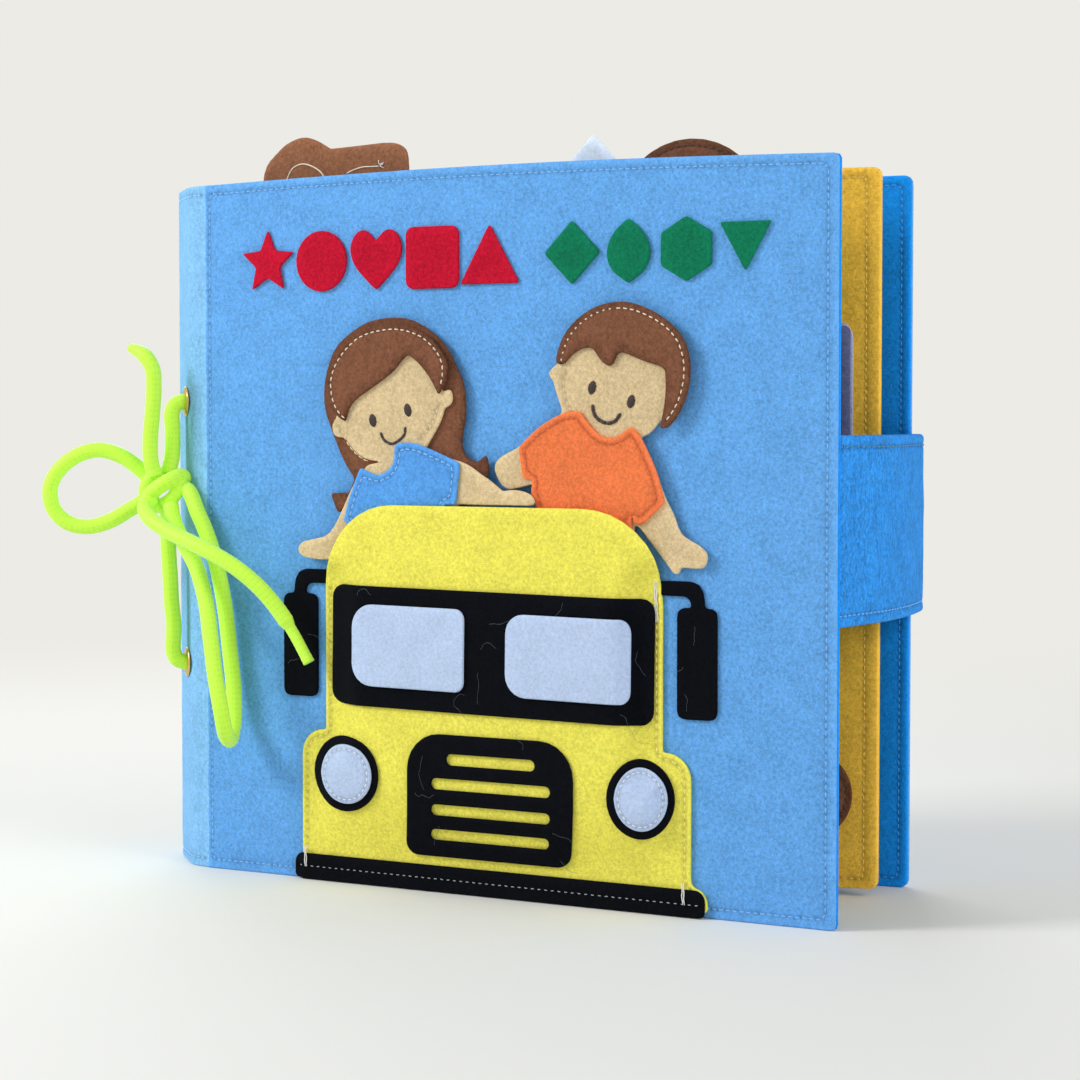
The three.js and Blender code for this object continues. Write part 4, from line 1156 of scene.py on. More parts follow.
@dataclass
class Camera:
    """The photograph's point of view, in the book's own millimetres."""

    place: tuple[float, float, float] = (525.456, -700.525, 145.798)
    turn_degrees: float = 29.834
    tilt_degrees: float = 2.602
    lens: float = 89.97
    sensor: float = 36.0

    def build(self) -> None:
        """Set the camera up."""
        data = bpy.data.cameras.new("camera")
        data.lens, data.sensor_width, data.clip_end = self.lens, self.sensor, 20
        camera = bpy.data.objects.new("camera", data)
        camera.location = in_frame(np.array(self.place))
        camera.rotation_euler = (math.radians(90 - self.tilt_degrees), 0.0, math.radians(self.turn_degrees))
        bpy.context.scene.collection.objects.link(camera)
        bpy.context.scene.camera = camera


@dataclass
class Studio:
    """A plain pale floor that fades into the background, and soft square lamps, in metres and watts."""

    floor_size: float = 40.0
    fade_from: float = 0.26
    fade_to: float = 1.0
    floor_colour: str = "ecebe6"
    world_colour: str = "e3e6e8"
    world_level: float = 0.58
    aim: tuple[float, float, float] = (0.0, 0.0, 0.1)
    lamps: tuple[tuple[str, tuple[float, float, float], float, float], ...] = (
        ("key", (-0.8, -0.75, 0.75), 0.42, 9.4), ("fill", (1.35, -0.35, 0.7), 0.9, 9.4),
        ("rear", (-0.9, 1.1, 0.8), 1.0, 8.0))

    def build(self) -> None:
        """Set the floor, the world and the lamps up."""
        self.floor()
        world = bpy.data.worlds.new("studio")
        world.use_nodes = True
        tree = world.node_tree
        tree.nodes.clear()
        seen = add_node(tree, "ShaderNodeBackground", {"Color": linear(self.floor_colour), "Strength": 1.0})
        light = add_node(tree, "ShaderNodeBackground",
                         {"Color": linear(self.world_colour), "Strength": self.world_level})
        self.show(tree, self.seen_rays(tree), light, seen, "ShaderNodeOutputWorld")
        bpy.context.scene.world = world
        for lamp in self.lamps:
            self.lamp(*lamp)

    def show(self, tree: bpy.types.NodeTree, share: Socket, first: bpy.types.Node, second: bpy.types.Node,
             output: str) -> None:
        """Mix two shaders and feed the tree's output with them.

        Args:
            tree: the node tree.
            share: the second shader's share.
            first: the first shader.
            second: the second shader.
            output: the output node's type name.
        """
        mixed = add_node(tree, "ShaderNodeMixShader", links={0: share, 1: first.outputs[0], 2: second.outputs[0]})
        add_node(tree, output, links={"Surface": mixed.outputs[0]})

    def seen_rays(self, tree: bpy.types.NodeTree) -> Socket:
        """Tell the rays that show the background: seen, in gloss and through glass.

        Args:
            tree: the node tree.

        Returns:
            A socket that is 1 for those rays.
        """
        path = add_node(tree, "ShaderNodeLightPath")
        shown = path.outputs["Is Camera Ray"]
        for kind in ("Is Glossy Ray", "Is Transmission Ray"):
            shown = add_node(tree, "ShaderNodeMath", {"operation": "MAXIMUM"},
                             {0: shown, 1: path.outputs[kind]}).outputs[0]
        return shown

    def floor(self) -> None:
        """Lay the floor: matt paint that keeps the shadows near the book and fades to the background far off."""
        paint = Shading("matt_floor_paint")
        tree = paint.tree
        away = add_node(tree, "ShaderNodeVectorMath", {"operation": "LENGTH"}, {0: paint.place}).outputs["Value"]
        far = add_node(tree, "ShaderNodeMapRange", {"interpolation_type": "SMOOTHSTEP", "From Min": self.fade_from,
                                                    "From Max": self.fade_to}, {"Value": away}).outputs["Result"]
        colour = linear(self.floor_colour)
        matt = add_node(tree, "ShaderNodeBsdfPrincipled", {"Base Color": colour, "Roughness": 0.8})
        glow = add_node(tree, "ShaderNodeEmission", {"Color": colour, "Strength": 1.0})
        self.show(tree, paint.maths("MULTIPLY", far, self.seen_rays(tree)), matt, glow, "ShaderNodeOutputMaterial")
        mesh = bpy.data.meshes.new("floor")
        half = self.floor_size / 2
        mesh.from_pydata([(-half, -half, 0), (half, -half, 0), (half, half, 0), (-half, half, 0)], [], [(0, 1, 2, 3)])
        mesh.materials.append(paint.material)
        floor = bpy.data.objects.new("floor", mesh)
        bpy.context.scene.collection.objects.link(floor)

    def lamp(self, name: str, place: tuple[float, float, float], size: float, power: float) -> None:
        """Hang a square soft lamp that faces the book.

        Args:
            name: the lamp's name.
            place: where it hangs.
            size: its side.
            power: its power.
        """
        data = bpy.data.lights.new(name, "AREA")
        data.size, data.energy = size, power
        lamp = bpy.data.objects.new(name, data)
        lamp.location = place
        lamp.rotation_euler = (Vector(self.aim) - Vector(place)).to_track_quat("-Z", "Y").to_euler()
        bpy.context.scene.collection.objects.link(lamp)


@dataclass
class Spine:
    """The spine: two layers of felt bent round in one bulge; the eyelets on its front part move with the front cover.
    """

    thickness: float = 59.0
    bulge: float = 30.0
    height: float = 220.0
    layer: float = 1.6
    overlap: float = 0.4
    lead: float = 2.0
    band_end: float = 80.3
    fold_along: float = 28.0
    fold_reach: tuple[float, float] = (2.66, -2.988)
    eyelet_along: float = 13.0
    eyelet_heights: tuple[float, float] = (151.0, 66.0)
    eyelet_sides: int = 40
    hole_radius: float = 3.45
    seam_inset: float = 3.0
    row_end: float = 2.0
    shares: tuple[tuple[float, float], ...] = ((0, 0), (0.25, 0.03), (0.53, 0.155), (0.83, 0.32), (1, 0.5),
                                               (0.83, 0.68), (0.53, 0.845), (0.25, 0.97), (0, 1))
    eyelet_profile: tuple[tuple[float, float], ...] = (
        (2.75, -3.3), (2.75, -0.1), (2.95, 0.55), (3.5, 0.88), (4.2, 0.8), (4.8, 0.42), (4.9, 0.1), (4.5, -0.02),
        (3.3, 0.05), (3.15, -0.4), (3.15, -2.9), (3.4, -3.25), (4.5, -3.2), (4.9, -3.45), (4.75, -3.8), (4.0, -4.3),
        (3.2, -4.25), (2.8, -3.8))

    def __post_init__(self) -> None:
        """Lay out the bulge, seen from above, with a short lead before it."""
        self.curve = flat_route([(-u * self.bulge, v * self.thickness) for u, v in self.shares], 0.4)
        self.plan = Plan(np.vstack([self.curve[0] - self.lead * unit(self.curve[1] - self.curve[0]), self.curve]))
        self.length = self.plan.length - self.lead

    def build(self) -> None:
        """Make the spine's two layers with their lace holes, and its four eyelets."""
        alongs = (self.eyelet_along, self.length - self.eyelet_along)
        holes = [round_loop(along, z, self.hole_radius)[::-1] for along in alongs for z in self.eyelet_heights]
        loop = rectangle(-self.overlap, 0.0, self.band_end + self.overlap, self.height, 0.4)
        rows = [np.array([(self.row_end, z), (self.band_end - self.row_end, z)])
                for z in (self.seam_inset, self.height - self.seam_inset)]
        fold = Fold("spine", "front_cover", self.plan.at(self.fold_along + self.lead)[0], np.array(self.fold_reach))
        # The band's outer felt is the paler copy of the sky blue, painted light on the bend that faces the key lamp.
        FeltSheet("spine_band_felt", [loop, *holes], self.layer, Felts.BAND, fold, ("spine_band", "front_margin"),
                  "folded", ("front_cover_outer",), seams=tuple(Seam(row, Threads.BAND) for row in rows), pitch=2.6,
                  wrap=self.plan.wrap(self.layer, start=-self.lead)).build()
        FeltSheet("spine_lining_felt", [loop, *holes], self.layer, Felts.DEEP, fold, (), "folded",
                  ("spine_band_felt",), pitch=3.2, wrap=self.plan.wrap(-self.layer, -1.0, -self.lead)).build()
        for along, side, body in zip(alongs, ("front", "back"), ("front_cover", "spine")):
            for z, level in zip(self.eyelet_heights, ("upper", "lower")):
                self.eyelet(f"{level}_{side}_eyelet", along, z, body)

    def eyelet(self, node: str, along: float, z: float, body: str) -> None:
        """Turn a rolled eyelet that pinches both layers round a lace hole.

        Args:
            node: the solid that it stands for.
            along: how far round the bulge it sits.
            z: its height.
            body: the body that it moves with.
        """
        profile = flat_route(self.eyelet_profile, 0.22)
        middle, outward = self.plan.at(along + self.lead)
        across, axis = np.append(leftward(outward), 0.0), np.append(outward, 0.0)
        spokes = polar(np.linspace(0, TURN, self.eyelet_sides, endpoint=False)) @ np.array([across, (0, 0, 1)])
        points = np.vstack([np.append(middle, z) + spokes * radius + axis * height for radius, height in profile])
        rings = np.arange(len(points)).reshape(len(profile), -1)
        make_piece(f"{node}_rolled", points, quads(np.vstack([rings, rings[:1]])), BRASS, body, (node,))


@dataclass
class FrontCover:
    """The front cover: two felt layers sewn together along their edge."""

    width: float = 220.0
    height: float = 220.0
    layer: float = 1.6
    corner: float = 1.4
    spine_corner: float = 0.4
    seam_inset: float = 3.0
    spine_inset: float = 1.5
    overlap: float = 0.5
    crown: float = 1.7

    def crowned(self, loop: Flat) -> Flat:
        """Raise the upper edge of a flat path, which the felt's stretch leaves a little high in its middle."""
        arch = np.sin(math.pi * np.clip(loop[:, 0] / self.width, 0, 1)) * ease(loop[:, 1] / self.height * 2 - 1)
        return loop + np.outer(self.crown * arch, (0, 1))

    def build(self) -> None:
        """Make the two layers and their seam."""
        loop = self.crowned(rectangle(-self.overlap, 0.0, self.width + self.overlap, self.height,
                                      (self.corner, self.corner, self.spine_corner, self.spine_corner)))
        row = rectangle(self.spine_inset, self.seam_inset, self.width - self.seam_inset - self.spine_inset,
                        self.height - 2 * self.seam_inset, 1.0)
        seam = Seam(self.crowned(row), Threads.SKY, closed=True)
        FeltSheet("front_cover_felt", [loop], self.layer, Felts.SKY, "front_cover", ("front_cover_outer",),
                  "stretched", ("front_cover_lining",), self.layer, (seam,), 4.0, waviness=0.07).build()
        FeltSheet("front_lining_felt", [loop], self.layer, Felts.DEEP, "front_cover", ("front_cover_lining",),
                  "stretched", ("front_cover_outer",), seams=(seam,), pitch=6.0,
                  wrap=lambda flat, depth: upright(flat, self.layer + depth)).build()


@dataclass
class BackCover:
    """The back cover: two felt layers that come round the last of the spine, fanned open at the back seam."""

    spine: Spine
    width: float = 211.5
    height: float = 220.0
    layer: float = 1.6
    corner: float = 2.5
    spine_corner: float = 0.4
    seam_inset: float = 3.0
    spine_inset: float = 1.5
    fan_degrees: float = 5.7
    fold_reach: float = 3.5
    fold_ribs: tuple[float, float, float] = (0.8, 5.0, 0.9)
    pitch: float = 4.5

    def place(self, run: float, out: float) -> np.ndarray:
        """Return a place beside the cover, by its distance from the back seam and from the outer face."""
        along = polar(math.radians(self.fan_degrees))
        return np.array([0.0, self.spine.thickness]) + along * run + leftward(along) * out

    def build(self) -> None:
        """Make the two layers and the seams that hold them together."""
        rounds = self.spine.plan.path[self.spine.plan.along > self.spine.band_end + self.spine.lead]
        straight = np.array([self.place(run, 0.0) for run in np.arange(0.5, self.width + 3, 0.5)])
        plan = Plan(np.vstack([rounds, straight]))
        lead = float(plan.along[len(rounds) - 1])
        loop = rectangle(0.0, 0.0, lead + self.width, self.height,
                         (self.corner, self.corner, self.spine_corner, self.spine_corner))
        row = rectangle(lead + self.spine_inset, self.seam_inset, self.width - self.seam_inset - self.spine_inset,
                        self.height - 2 * self.seam_inset, 1.0)
        fold = Fold("spine", "back_cover", self.spine.curve[-1], np.array([self.fold_reach, 0.0]))
        first, past, spacing = self.fold_ribs
        ribs = np.arange(first, lead + past, spacing)
        for face, other, name, felt, thread, side in (
                ("outer", "lining", "back_cover_felt", Felts.SKY, Threads.SKY, 1.0),
                ("lining", "outer", "back_lining_felt", Felts.DEEP, Threads.DEEP, -1.0)):
            FeltSheet(name, [loop], self.layer, felt, fold, (f"back_cover_{face}",), "stretched",
                      (f"back_cover_{other}",), seams=(Seam(row, thread, closed=True),), pitch=self.pitch, ribs=ribs,
                      wrap=plan.wrap(side * self.layer, side)).build()


@dataclass
class Strap:
    """The closing strap: one thick felt strip sewn to the back cover, bent over the fore edge, with a hooked tab."""

    back_cover: BackCover
    bottom: float = 85.7
    height: float = 55.0
    thickness: float = 2.8
    sewn_from: float = 148.1
    sewn_to: float = 208.1
    sewn_clear: float = 3.1
    turn: tuple[float, float] = (210.95, 80.5)
    corner: tuple[float, float] = (218.65, 4.5)
    fold_reach: tuple[float, float] = (1.05, -2.82)
    bend: float = 4.0
    tab_end: float = 207.65
    spare: float = 3.0
    bow: float = 4.0
    seam_inset: float = 3.4
    first_row: float = 3.0
    second_row: float = 57.0
    tab_inset: float = 2.5
    turn_ribs: tuple[float, float, float] = (59.5, 70.0, 0.7)
    corner_ribs: tuple[float, float, float] = (16.0, 4.0, 0.8)
    hook_pitch: tuple[float, float] = (1.3, 1.6)
    hook_radius: float = 0.07

    def path(self) -> np.ndarray:
        """Lay out the strap's outer face, seen from above.

        Returns:
            Closely spaced places in x and y.
        """
        sewn = [self.back_cover.place(run, self.sewn_clear) for run in np.arange(self.sewn_from, self.sewn_to, 0.5)]
        over = np.array(self.turn) + polar(np.radians(np.arange(90, -1, -6)), self.thickness)
        corner = np.array(self.corner)
        share = np.linspace(0, 1, 90)[1:, None]
        across = (over[-1] + (corner + (0.0, self.bend) - over[-1]) * share
                  + np.sin(math.pi * share) * np.array([self.bow, 0.0]))
        under = corner + (-self.bend, self.bend) + polar(np.radians(np.arange(-6, -91, -6)), self.bend)
        stops = np.arange(corner[0] - self.bend - 0.5, self.tab_end - self.spare, -0.5)
        return np.vstack([sewn, over, across, under, np.column_stack([stops, np.full(len(stops), corner[1])])])

    def build(self) -> None:
        """Make the strap and its hook patch."""
        plan = Plan(self.path())
        length = plan.length - self.spare
        fold = Fold("back_cover", "strap_flap", np.array(self.turn), np.array(self.fold_reach))
        levels = (self.bottom + self.seam_inset, self.bottom + self.height - self.seam_inset)
        rows = [np.array([(self.first_row, z), (length - self.tab_inset, z)]) for z in levels]
        ends = [np.array([(u, z) for z in levels]) for u in (self.first_row, self.second_row)]
        seams = (Seam(rows[0], Threads.STRAP, pitch=2.6, pull=0.45),
                 Seam(rows[1], Threads.TEAL, pitch=3.3, width=0.5, pull=0.45, share=0.9, lift=0.12),
                 *(Seam(end, Threads.STRAP) for end in ends))
        before, after, spacing = self.corner_ribs
        bends = np.concatenate([np.arange(*self.turn_ribs), np.arange(length - before, length - after, spacing)])
        FeltSheet("strap_felt", [rectangle(0.0, self.bottom, length, self.height, 1.0)], self.thickness, Felts.STRAP,
                  fold, ("strap_anchor", "strap"), "folded", ("back_cover_outer",), seams=seams, pitch=2.4,
                  ribs=bends, wrap=plan.wrap(self.thickness), waviness=0.12).build()
        self.patch()

    def patch(self) -> None:
        """Make the hook patch: a backing with rows of small hooks towards the cover's lining."""
        low, high = box_of("hook_patch")
        loop = rectangle(low[0], low[2], high[0] - low[0], high[2] - low[2], 0.6, 0.8)
        FeltSheet("hook_patch_backing", [loop], 0.5, Felts.GREY, "strap_flap", ("hook_patch",), back=high[1],
                  pitch=2.0).build()
        hook = np.array([(0, 0, 0), (0, -0.2, 0), (0.12, -0.33, 0), (0.3, -0.28, 0)])
        across, upward = self.hook_pitch
        hooks = [hook + (x, high[1] - 0.45, z)
                 for k, z in enumerate(np.arange(low[2] + 1, high[2] - 1, upward))
                 for x in np.arange(low[0] + 0.9 + 0.5 * (k % 2), high[0] - 0.6, across)]
        lay_threads("hook_patch_hooks", hooks, self.hook_radius, Threads.GREY, "strap_flap", 4)


@dataclass
class Leaf:
    """A page: two felt layers sewn together, from the margin that the lace holds to the fore edge."""

    number: int
    finish: Felts
    thread: Threads
    fold_y: float
    route: np.ndarray
    margin: float = 13.8
    bottom: float = 2.4
    height: float = 218.6
    layer: float = 1.5
    corner: float = 2.5
    spine_corner: float = 0.5
    hole_place: float = -6.3
    hole_radius: float = 3.2
    hole_heights: tuple[float, float] = (151.0, 66.0)
    seam_inset: float = 4.4
    seam_low: float = 3.0
    seam_start: float = 3.0
    fold_reach: float = 1.8
    fold_ribs: tuple[float, float, float] = (-2.4, 3.0, 0.8)

    def __post_init__(self) -> None:
        """Join the margin and the leaf into one path, seen from above."""
        margin = np.arange(-self.margin, -0.2, 0.5)
        after = self.route[-1] + (self.route[-1] - self.route[-2])
        self.plan = Plan(np.vstack([np.column_stack([margin, np.full(len(margin), self.fold_y)]), self.route, after]))
        self.reach = float(self.plan.along[-2]) - self.margin

    def wrap(self, side: float, skin: float = 0.0) -> Wrap:
        """Return a function that sets a flat sheet on the page, its u measured from the fold."""
        return self.plan.wrap(skin, side, -self.margin)

    def build(self) -> None:
        """Make the page's two layers with their seams."""
        page = f"page_{self.number}"
        fold = Fold("spine", f"{page}_leaf", np.array([0.0, self.fold_y]), np.array([self.fold_reach, 0.0]))
        loop = rectangle(-self.margin, self.bottom, self.margin + self.reach, self.height,
                         (self.corner, self.corner, self.spine_corner, self.spine_corner))
        holes = [round_loop(self.hole_place, z, self.hole_radius)[::-1] for z in self.hole_heights]
        right = self.reach - self.seam_inset
        low, high = self.bottom + self.seam_low, self.bottom + self.height - self.seam_low
        path = resample(np.array([(self.seam_start, low), (right, low), (right, high), (self.seam_start, high)]), 1.0)
        for side, face, other, nodes in ((-1.0, "front", "back", (page, f"{page}_margin")),
                                         (1.0, "back", "front", ())):
            FeltSheet(f"{page}_{face}_felt", [loop, *holes], self.layer, self.finish, fold, nodes, "folded",
                      (f"{page}_margin", f"{page}_{other}_felt"), seams=(Seam(path, self.thread),), pitch=5.0,
                      ribs=np.arange(*self.fold_ribs), wrap=self.wrap(side)).build()


@dataclass
class Pages:
    """The three pages and what is sewn on the last.

    A patch is a box (left, bottom, width, height) with its corners' radii, as it lies on the last page.
    """

    folds: tuple[float, float, float] = (14.5, 29.0, 44.0)
    short_reach: float = 205.0
    long_reach: float = 209.0
    lean: float = 4.0
    bow: float = 14.0
    bow_shares: tuple[tuple[float, float], ...] = ((0, 0), (0.48, 0.14), (0.77, 0.36), (1, 1))
    strip: tuple = (187.5, 126.0, 13.7, 49.4, (0.6, 6.0, 6.0, 0.6))
    tongue: tuple = (196.6, 127.0, 3.9, 46.4, (0.4, 1.9, 1.9, 0.4))
    edge: tuple = (192.8, 126.2, 4.0, 31.0, (0.4, 1.2, 1.2, 0.4))
    disc: tuple[float, float] = (188.0, 31.0)
    disc_radius: float = 13.5
    disc_seam: float = 11.7
    gap: float = 0.2

    def straight(self, fold_y: float, lean: float) -> np.ndarray:
        """Return a straight leaf's centre line from its fold."""
        return np.array([0.0, fold_y]) + np.linspace(0, 1, 206)[:, None] * np.array([self.short_reach, -lean])

    def bowed(self, fold_y: float) -> np.ndarray:
        """Lay out the last leaf's centre line, an even curve through its given places.

        Args:
            fold_y: where its fold lies.

        Returns:
            Closely spaced places in x and y.
        """
        places = np.array([(u * self.long_reach, fold_y + v * self.bow) for u, v in self.bow_shares])
        line = []
        for i in range(len(places) - 1):
            p0, p3 = places[max(i - 1, 0)], places[min(i + 2, len(places) - 1)]
            p1, p2 = places[i], places[i + 1]
            v0, v1 = (p2 - p0) / 2, (p3 - p1) / 2
            for t in np.linspace(0, 1, 70, endpoint=False):
                line.append((2 * p1 - 2 * p2 + v0 + v1) * t ** 3 + (3 * p2 - 3 * p1 - 2 * v0 - v1) * t ** 2
                            + v0 * t + p1)
        return resample(np.vstack([line, places[-1]]), 0.7)

    def build(self) -> None:
        """Make the three pages, and the strip and the disc on the third."""
        first, second, third = self.folds
        Leaf(1, Felts.CREAM, Threads.CREAM, first, self.straight(first, 0.0)).build()
        Leaf(2, Felts.MINT, Threads.MINT, second, self.straight(second, self.lean)).build()
        last = Leaf(3, Felts.AMBER, Threads.AMBER, third, self.bowed(third))
        last.build()
        self.sewn_on(last)

    def sewn_on(self, leaf: Leaf) -> None:
        """Sew the grey strip with its darker tongue and lime edge, and the brown disc, on the last page's front.

        Args:
            leaf: the last page.
        """
        def along(loop: Flat) -> Flat:
            """Turn distances across the book into distances along the page."""
            run = np.interp(loop[:, 0], leaf.plan.path[:, 0], leaf.plan.along) - leaf.margin
            return np.stack([run, loop[:, 1]], axis=1)
        row = Seam(along(round_loop(*self.disc, self.disc_seam)), Threads.CHESTNUT, closed=True)
        disc = round_loop(*self.disc, self.disc_radius)
        for name, loop, thickness, felt, rise, pitch, node, seams in (
                ("grey_strip_felt", rectangle(*self.strip, 0.7), 1.2, Felts.GREY, 0.0, 2.4, "grey_strip", ()),
                ("grey_strip_tongue", rectangle(*self.tongue, 0.5), 0.7, Felts.SLATE, 1.0, 2.4, "", ()),
                ("grey_strip_edge", rectangle(*self.edge, 0.5), 1.0, Felts.OLIVE, 0.9, 2.0, "", ()),
                ("brown_disc_felt", disc, 1.2, Felts.BROWN, 0.0, 2.4, "brown_disc", (row,))):
            FeltSheet(name, [along(loop)], thickness, felt, "page_3_leaf", (node,) if node else (),
                      "laid" if node else "", ("page_3_front_felt",), seams=seams, pitch=pitch,
                      wrap=leaf.wrap(-1.0, -leaf.layer - self.gap - rise)).build()


@dataclass
class Bus:
    """The bus front: a yellow felt pocket with layered felt parts, pushed out by the dolls behind its roof.

    Its parts are laid out as if it lay flat on the cover, and then lifted. A part that is lifted also moves towards
    the fore edge, because the pocket's front is a little wider than the cover behind it. A box is its left, bottom,
    width and height, with its corners' radii. A slot is its left, middle and width; a lamp is its rim's middle and
    its lens's.
    """

    left: float = 46.9
    right: float = 165.6
    shoulder_left: float = 37.8
    shoulder_right: float = 174.9
    foot: float = 1.2
    foot_end: tuple[tuple[float, float], ...] = ((179.0, 1.2), (180.4, 2.4), (180.2, 5.6), (178.6, 7.9),
                                                 (175.6, 9.1), (174.9, 10.4))
    roof: float = 118.9
    roof_corners: tuple[float, float] = (28.0, 24.0)
    shoulder: float = 47.8
    shoulder_corner: float = 8.0
    foot_corner: float = 3.0
    layer: float = 1.2
    pocket: float = 5.3
    rest: float = 0.2
    lean: float = 0.7
    seam_inset: float = 2.0
    open_above: float = 93.0
    ramp: float = 9.0
    ramp_more: float = 5.5
    steep_from: float = 50.0
    steep_over: float = 50.0
    flat_foot: float = 6.0
    foot_rise: float = 26.0
    tilt: float = -0.7
    windshield: tuple = (50.2, 56.1, 113.2, 37.3, 4.2)
    panes: tuple = (("left", (58.0, 62.9, 40.4, 25.3, (3.0, 3.2, 7.0, 7.0))),
                    ("right", (112.9, 61.95, 43.0, 25.0, (3.6, 4.2, 6.0, 7.0))))
    grille: tuple = (77.3, 11.2, 58.1, 38.4, (4.5, 11.5, 11.5, 4.5))
    slots: tuple[tuple[float, float, float], ...] = ((91.4, 42.0, 31.0), (86.0, 34.4, 41.7), (86.0, 26.3, 41.7),
                                                     (86.0, 18.4, 41.7))
    slot_height: float = 3.4
    slot_corner: float = 1.65
    lamps: tuple = (("left", (54.9, 35.0), (55.7, 35.15)), ("right", (158.4, 34.1), (159.1, 34.25)))
    rim_radius: float = 11.7
    lens_radius: float = 9.2
    lens_seam: float = 7.9
    bumper_box: tuple = (34.9, 0.25, 145.1, 8.1, (1.6, 3.4, 3.2, 1.6))
    bumper_row: tuple[tuple[float, float], ...] = ((36.4, 4.4), (178.6, 4.0))
    bumper_rest: float = 0.15
    bumper_slope: float = 3.0
    tack_rows: tuple = ((((39.9, 10.6), (40.1, 4.2)), 2.75), (((173.2, 10.4), (173.4, 3.9)), 2.75),
                        (((163.3, 98.0), (164.0, 86.0)), 1.5))
    tack_shifts: tuple[float, float] = (-0.3, 0.25)
    tack_sway: float = 0.12

    def __post_init__(self) -> None:
        """Draw the body, and the row along which it is sewn down: both sides and the foot, open along the roof."""
        def arc(u: float, v: float, radius: float, start: float) -> np.ndarray:
            """Draw a quarter of a circle."""
            return np.array([u, v]) + polar(np.radians(np.arange(start, start + 91, 10)), radius)
        shoulder, foot = self.shoulder_corner, self.foot_corner
        right, left = self.roof_corners
        self.body = soften(np.vstack([
            (self.shoulder_left + foot, self.foot), *self.foot_end,
            arc(self.shoulder_right - shoulder, self.shoulder - shoulder, shoulder, 0), (self.right, self.shoulder),
            arc(self.right - right, self.roof - right, right, 0), arc(self.left + left, self.roof - left, left, 90),
            (self.left, self.shoulder), arc(self.shoulder_left + shoulder, self.shoulder - shoulder, shoulder, 90),
            arc(self.shoulder_left + foot, self.foot + foot, foot, 180)]), 0.9, 0.5)
        row = inset(self.body, self.seam_inset)
        self.held = resample(longest_run(row, row[:, 1] < self.open_above), 0.8)

    def lift(self, flat: Flat) -> np.ndarray:
        """Work out how far the pocket's front stands off the cover; it rises more steeply on the girl's side.

        Args:
            flat: the flat places.

        Returns:
            The distance at each place.
        """
        run = self.ramp + self.ramp_more * ease((flat[:, 0] - self.left - self.steep_from) / self.steep_over)
        share = ease((nearest(flat, self.held) - self.seam_inset) / run)
        share *= ease((flat[:, 1] - self.flat_foot) / self.foot_rise)
        return self.rest + (self.pocket - self.rest) * share

    def wrap(self, flat: Flat, depth: np.ndarray) -> np.ndarray:
        """Lift flat places off the cover and lean them towards the fore edge by as much as the pocket is lifted."""
        return upright(flat + np.outer(self.lean * (self.lift(flat) - self.rest), (1, 0)), -depth)

    def part(self, node: str, loops: list[Flat], finish: Felts, level: int, seams: tuple[Seam, ...] = (),
             pitch: float = 2.6) -> None:
        """Make one felt part of the bus.

        Args:
            node: the solid that it stands for.
            loops: its outline and holes.
            finish: its felt.
            level: how many layers lie under it.
            seams: its seams.
            pitch: the spacing of its mesh.
        """
        under = ("front_cover_outer", "bus_body", "windshield_frame")[level]
        FeltSheet(f"{node}_felt", loops, self.layer, finish, "front_cover", (node,), "laid", (under,), seams=seams,
                  pitch=pitch, base=lambda flat: self.lift(flat) + level * self.layer, wrap=self.wrap).build()

    def build(self) -> None:
        """Cut and sew the body, the windshield, the grille, the headlights and the bumper."""
        self.part("bus_body", [self.body], Felts.YELLOW, 0, (Seam(self.held, Threads.YELLOW, pitch=2.4, pull=0.35),))
        self.part("windshield_frame", [turned(rectangle(*self.windshield), self.tilt)], Felts.BLACK, 1)
        for side, pane in self.panes:
            self.part(f"{side}_window", [turned(rectangle(*pane, 0.9), self.tilt)], Felts.WINDOW, 2)
        holes = [rectangle(left, z - self.slot_height / 2, width, self.slot_height, self.slot_corner, 0.5)[::-1]
                 for left, z, width in self.slots]
        self.part("grille", [rectangle(*self.grille, 0.9), *holes], Felts.BLACK, 1, pitch=2.2)
        for side, rim, lens in self.lamps:
            self.part(f"{side}_headlight_rim", [round_loop(*rim, self.rim_radius)], Felts.BLACK, 1)
            row = Seam(round_loop(*lens, self.lens_seam), Threads.ICE, closed=True, pitch=2.0, width=0.35)
            self.part(f"{side}_headlight_lens", [round_loop(*lens, self.lens_radius)], Felts.WINDOW, 2, (row,), 2.0)
        self.bumper()
        self.tacks()

    def bumper(self) -> None:
        """Make the bumper, which lies on the body and comes down to the cover at both ends."""
        def base(flat: Flat) -> np.ndarray:
            """Return how far the bumper stands off the cover."""
            inside = ease((flat[:, 0] - self.shoulder_left + self.bumper_slope / 2) / self.bumper_slope)
            return self.bumper_rest + (self.lift(flat) + self.layer - self.bumper_rest) * inside
        row = Seam(np.array(self.bumper_row), Threads.GREY, pitch=2.3, width=0.3, share=0.55)
        FeltSheet("bumper_felt", [rectangle(*self.bumper_box, 0.9)], self.layer, Felts.BLACK, "front_cover",
                  ("bumper",), seams=(row,), pitch=2.2, base=base, wrap=self.wrap).build()

    def tacks(self) -> None:
        """Lay the doubled white tacks over the bumper's ends and at the side seam's top."""
        lines = []
        for ends, depth in self.tack_rows:
            for shift in self.tack_shifts:
                flat = resample(np.array(ends), 1.0) + (shift, 0.0)
                sway = self.tack_sway * np.sin(np.arange(len(flat)) * 1.7 + shift * 9)
                arch = self.tack_sway * np.sin(np.linspace(0, math.pi, len(flat)))
                rise = self.lift(flat) + depth - self.rest + arch
                lines.append(self.wrap(flat + np.outer(sway, (1, 0)), rise))
        lay_threads("bus_tacks", lines, 0.18, Threads.WHITE, "front_cover")


